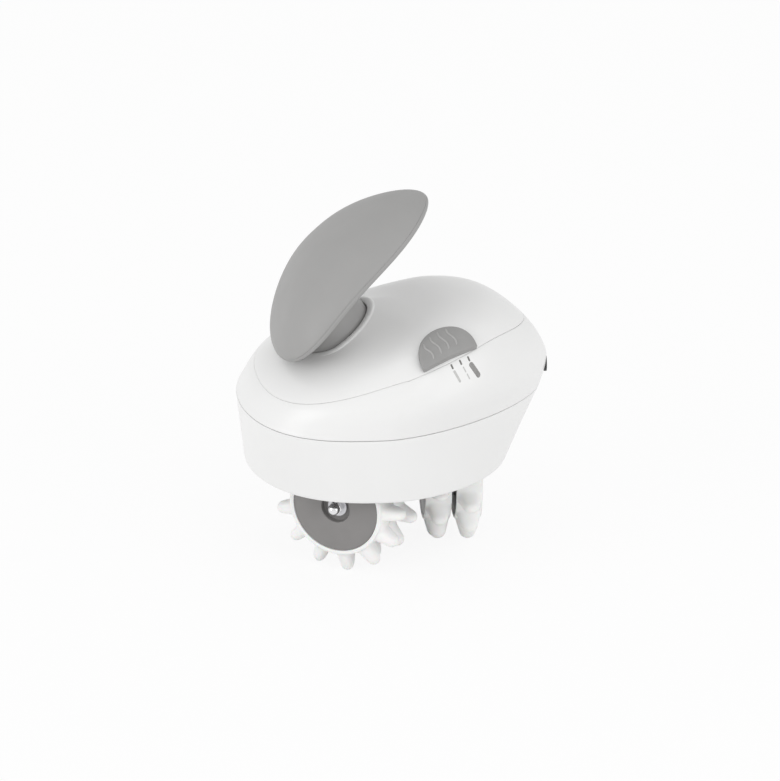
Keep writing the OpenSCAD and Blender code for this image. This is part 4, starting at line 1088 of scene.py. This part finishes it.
# %% [markdown]
# ## Finishes for the solids that stay
# Gears, motor, bearings, screws, cells and circuit board keep their solid shapes, because they are simple
# and mostly hidden. They still get real finishes, by putting a new material in their slots: whoever opens
# the massager in another scene finds brass, steel and green board, and no bare grey.

# %% Finishes by node
inside = {
    frame_grey: "gear_deck gearbox_lid",
    hub_white: "rotor_hub",
    gear_white: "head_gear idler_gear",
    turned_brass: "motor_pinion roller_bushes_a roller_bushes_b roller_bushes_c",
    dark_plastic: "slide_switch board_parts charging_socket motor_cap",
    board_green: "circuit_board",
    cell_blue: "battery_cells",
    plated_steel: "gearbox_screws deck_screws cover_screws lower_bearing upper_bearing handle_screws "
                  "neck_screws board_screws battery_clips motor_can motor_screws motor_shaft idler_pin "
                  "head_shaft shaft_clip hub_screw roller_axles axle_washers",
}
for material, names in inside.items():
    for name in names.split():
        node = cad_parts[name]
        node.data.materials.clear()
        node.data.materials.append(material)
print(sum(len(names.split()) for names in inside.values()), "solids dressed")

# %% [markdown]
# ## Floor, world and lamps
# The picture is a plain studio shot on pure white, with almost no shadow. The floor is white and mostly
# shines white at the camera, so that it melts into the background but keeps a trace of shadow. Two large
# soft lamps stand left and right, which leaves the middle of the skirt a little darker. A weak one
# in front opens the shadow under the palm rest, and a small one makes the bright spot below the switch.
# A plain pale sky gives the rest.

# %% Floor
FLOOR_HALF, FLOOR_SHINE = 6.0, 0.9
corners = [(x * FLOOR_HALF, y * FLOOR_HALF, 0) for x, y in ((-1, -1), (1, -1), (1, 1), (-1, 1))]
floor_mesh = bpy.data.meshes.new("floor")
floor_mesh.from_pydata(corners, [], [(0, 1, 2, 3)])
floor = linked("floor", floor_mesh)
paper = bpy.data.materials.new("paper")
floor_mesh.materials.append(paper)
print("floor:", 2 * FLOOR_HALF, "metres wide")

# %% The floor's paper
paper.use_nodes = True
nodes, links = paper.node_tree.nodes, paper.node_tree.links
nodes.clear()


def reckoned(operation, first, second):
    """The output of a math node that takes an output, and another output or a number."""
    node = nodes.new("ShaderNodeMath")
    node.operation = operation
    links.new(first, node.inputs[0])
    if isinstance(second, float):
        node.inputs[1].default_value = second
    else:
        links.new(second, node.inputs[1])
    return node.outputs[0]


rays = nodes.new("ShaderNodeLightPath").outputs
seen = reckoned("MAXIMUM", rays["Is Camera Ray"], rays["Is Glossy Ray"])
seen = reckoned("MAXIMUM", seen, rays["Is Transmission Ray"])
share = reckoned("MULTIPLY", seen, FLOOR_SHINE)
matt = nodes.new("ShaderNodeBsdfDiffuse")
matt.inputs["Color"].default_value = (0.9, 0.9, 0.9, 1)
shine = nodes.new("ShaderNodeEmission")
blend = nodes.new("ShaderNodeMixShader")
surface = nodes.new("ShaderNodeOutputMaterial")
links.new(share, blend.inputs["Fac"])
links.new(matt.outputs[0], blend.inputs[1])
links.new(shine.outputs[0], blend.inputs[2])
links.new(blend.outputs[0], surface.inputs["Surface"])
print("paper shines", FLOOR_SHINE, "of its white at the camera")

# %% World
world = bpy.data.worlds.new("studio")
bpy.context.scene.world = world
world.use_nodes = True
nodes, links = world.node_tree.nodes, world.node_tree.links
nodes.clear()
sky = nodes.new("ShaderNodeBackground")
sky.inputs["Strength"].default_value = 1
surface = nodes.new("ShaderNodeOutputWorld")
links.new(sky.outputs[0], surface.inputs["Surface"])
print("sky:", [round(c, 2) for c in sky.inputs["Color"].default_value])

# %% Lamps
LIT_PLACE = Vector((0.0, 0.0, 0.08))
# name: (place, width, height, power)
LAMPS = {
    "left_softbox": ((-1.4, -0.7, 0.6), 1.0, 1.0, 6.4),
    "right_softbox": ((1.2, -1.0, 0.5), 0.9, 1.0, 3.8),
    "front_softbox": ((-0.7, -2.2, 1.3), 1.6, 1.6, 1.2),
    "key_softbox": ((0.42, -0.9, 0.68), 0.2, 0.2, 0.45),
}
for name, (place, width, height, power) in LAMPS.items():
    lamp = linked(name, bpy.data.lights.new(name, "AREA"))
    lamp.data.shape = "RECTANGLE"
    lamp.data.size, lamp.data.size_y = width, height
    lamp.data.energy = power
    lamp.location = place
    lamp.rotation_mode = "QUATERNION"
    lamp.rotation_quaternion = (LIT_PLACE - Vector(place)).to_track_quat("-Z", "Y")
print("lamps:", ", ".join(LAMPS))

# %% [markdown]
# ## Colour view
# The picture is shown through the standard view transform, so the colours come out as they are set.

# %% The view transform
bpy.context.scene.view_settings.view_transform = "Standard"
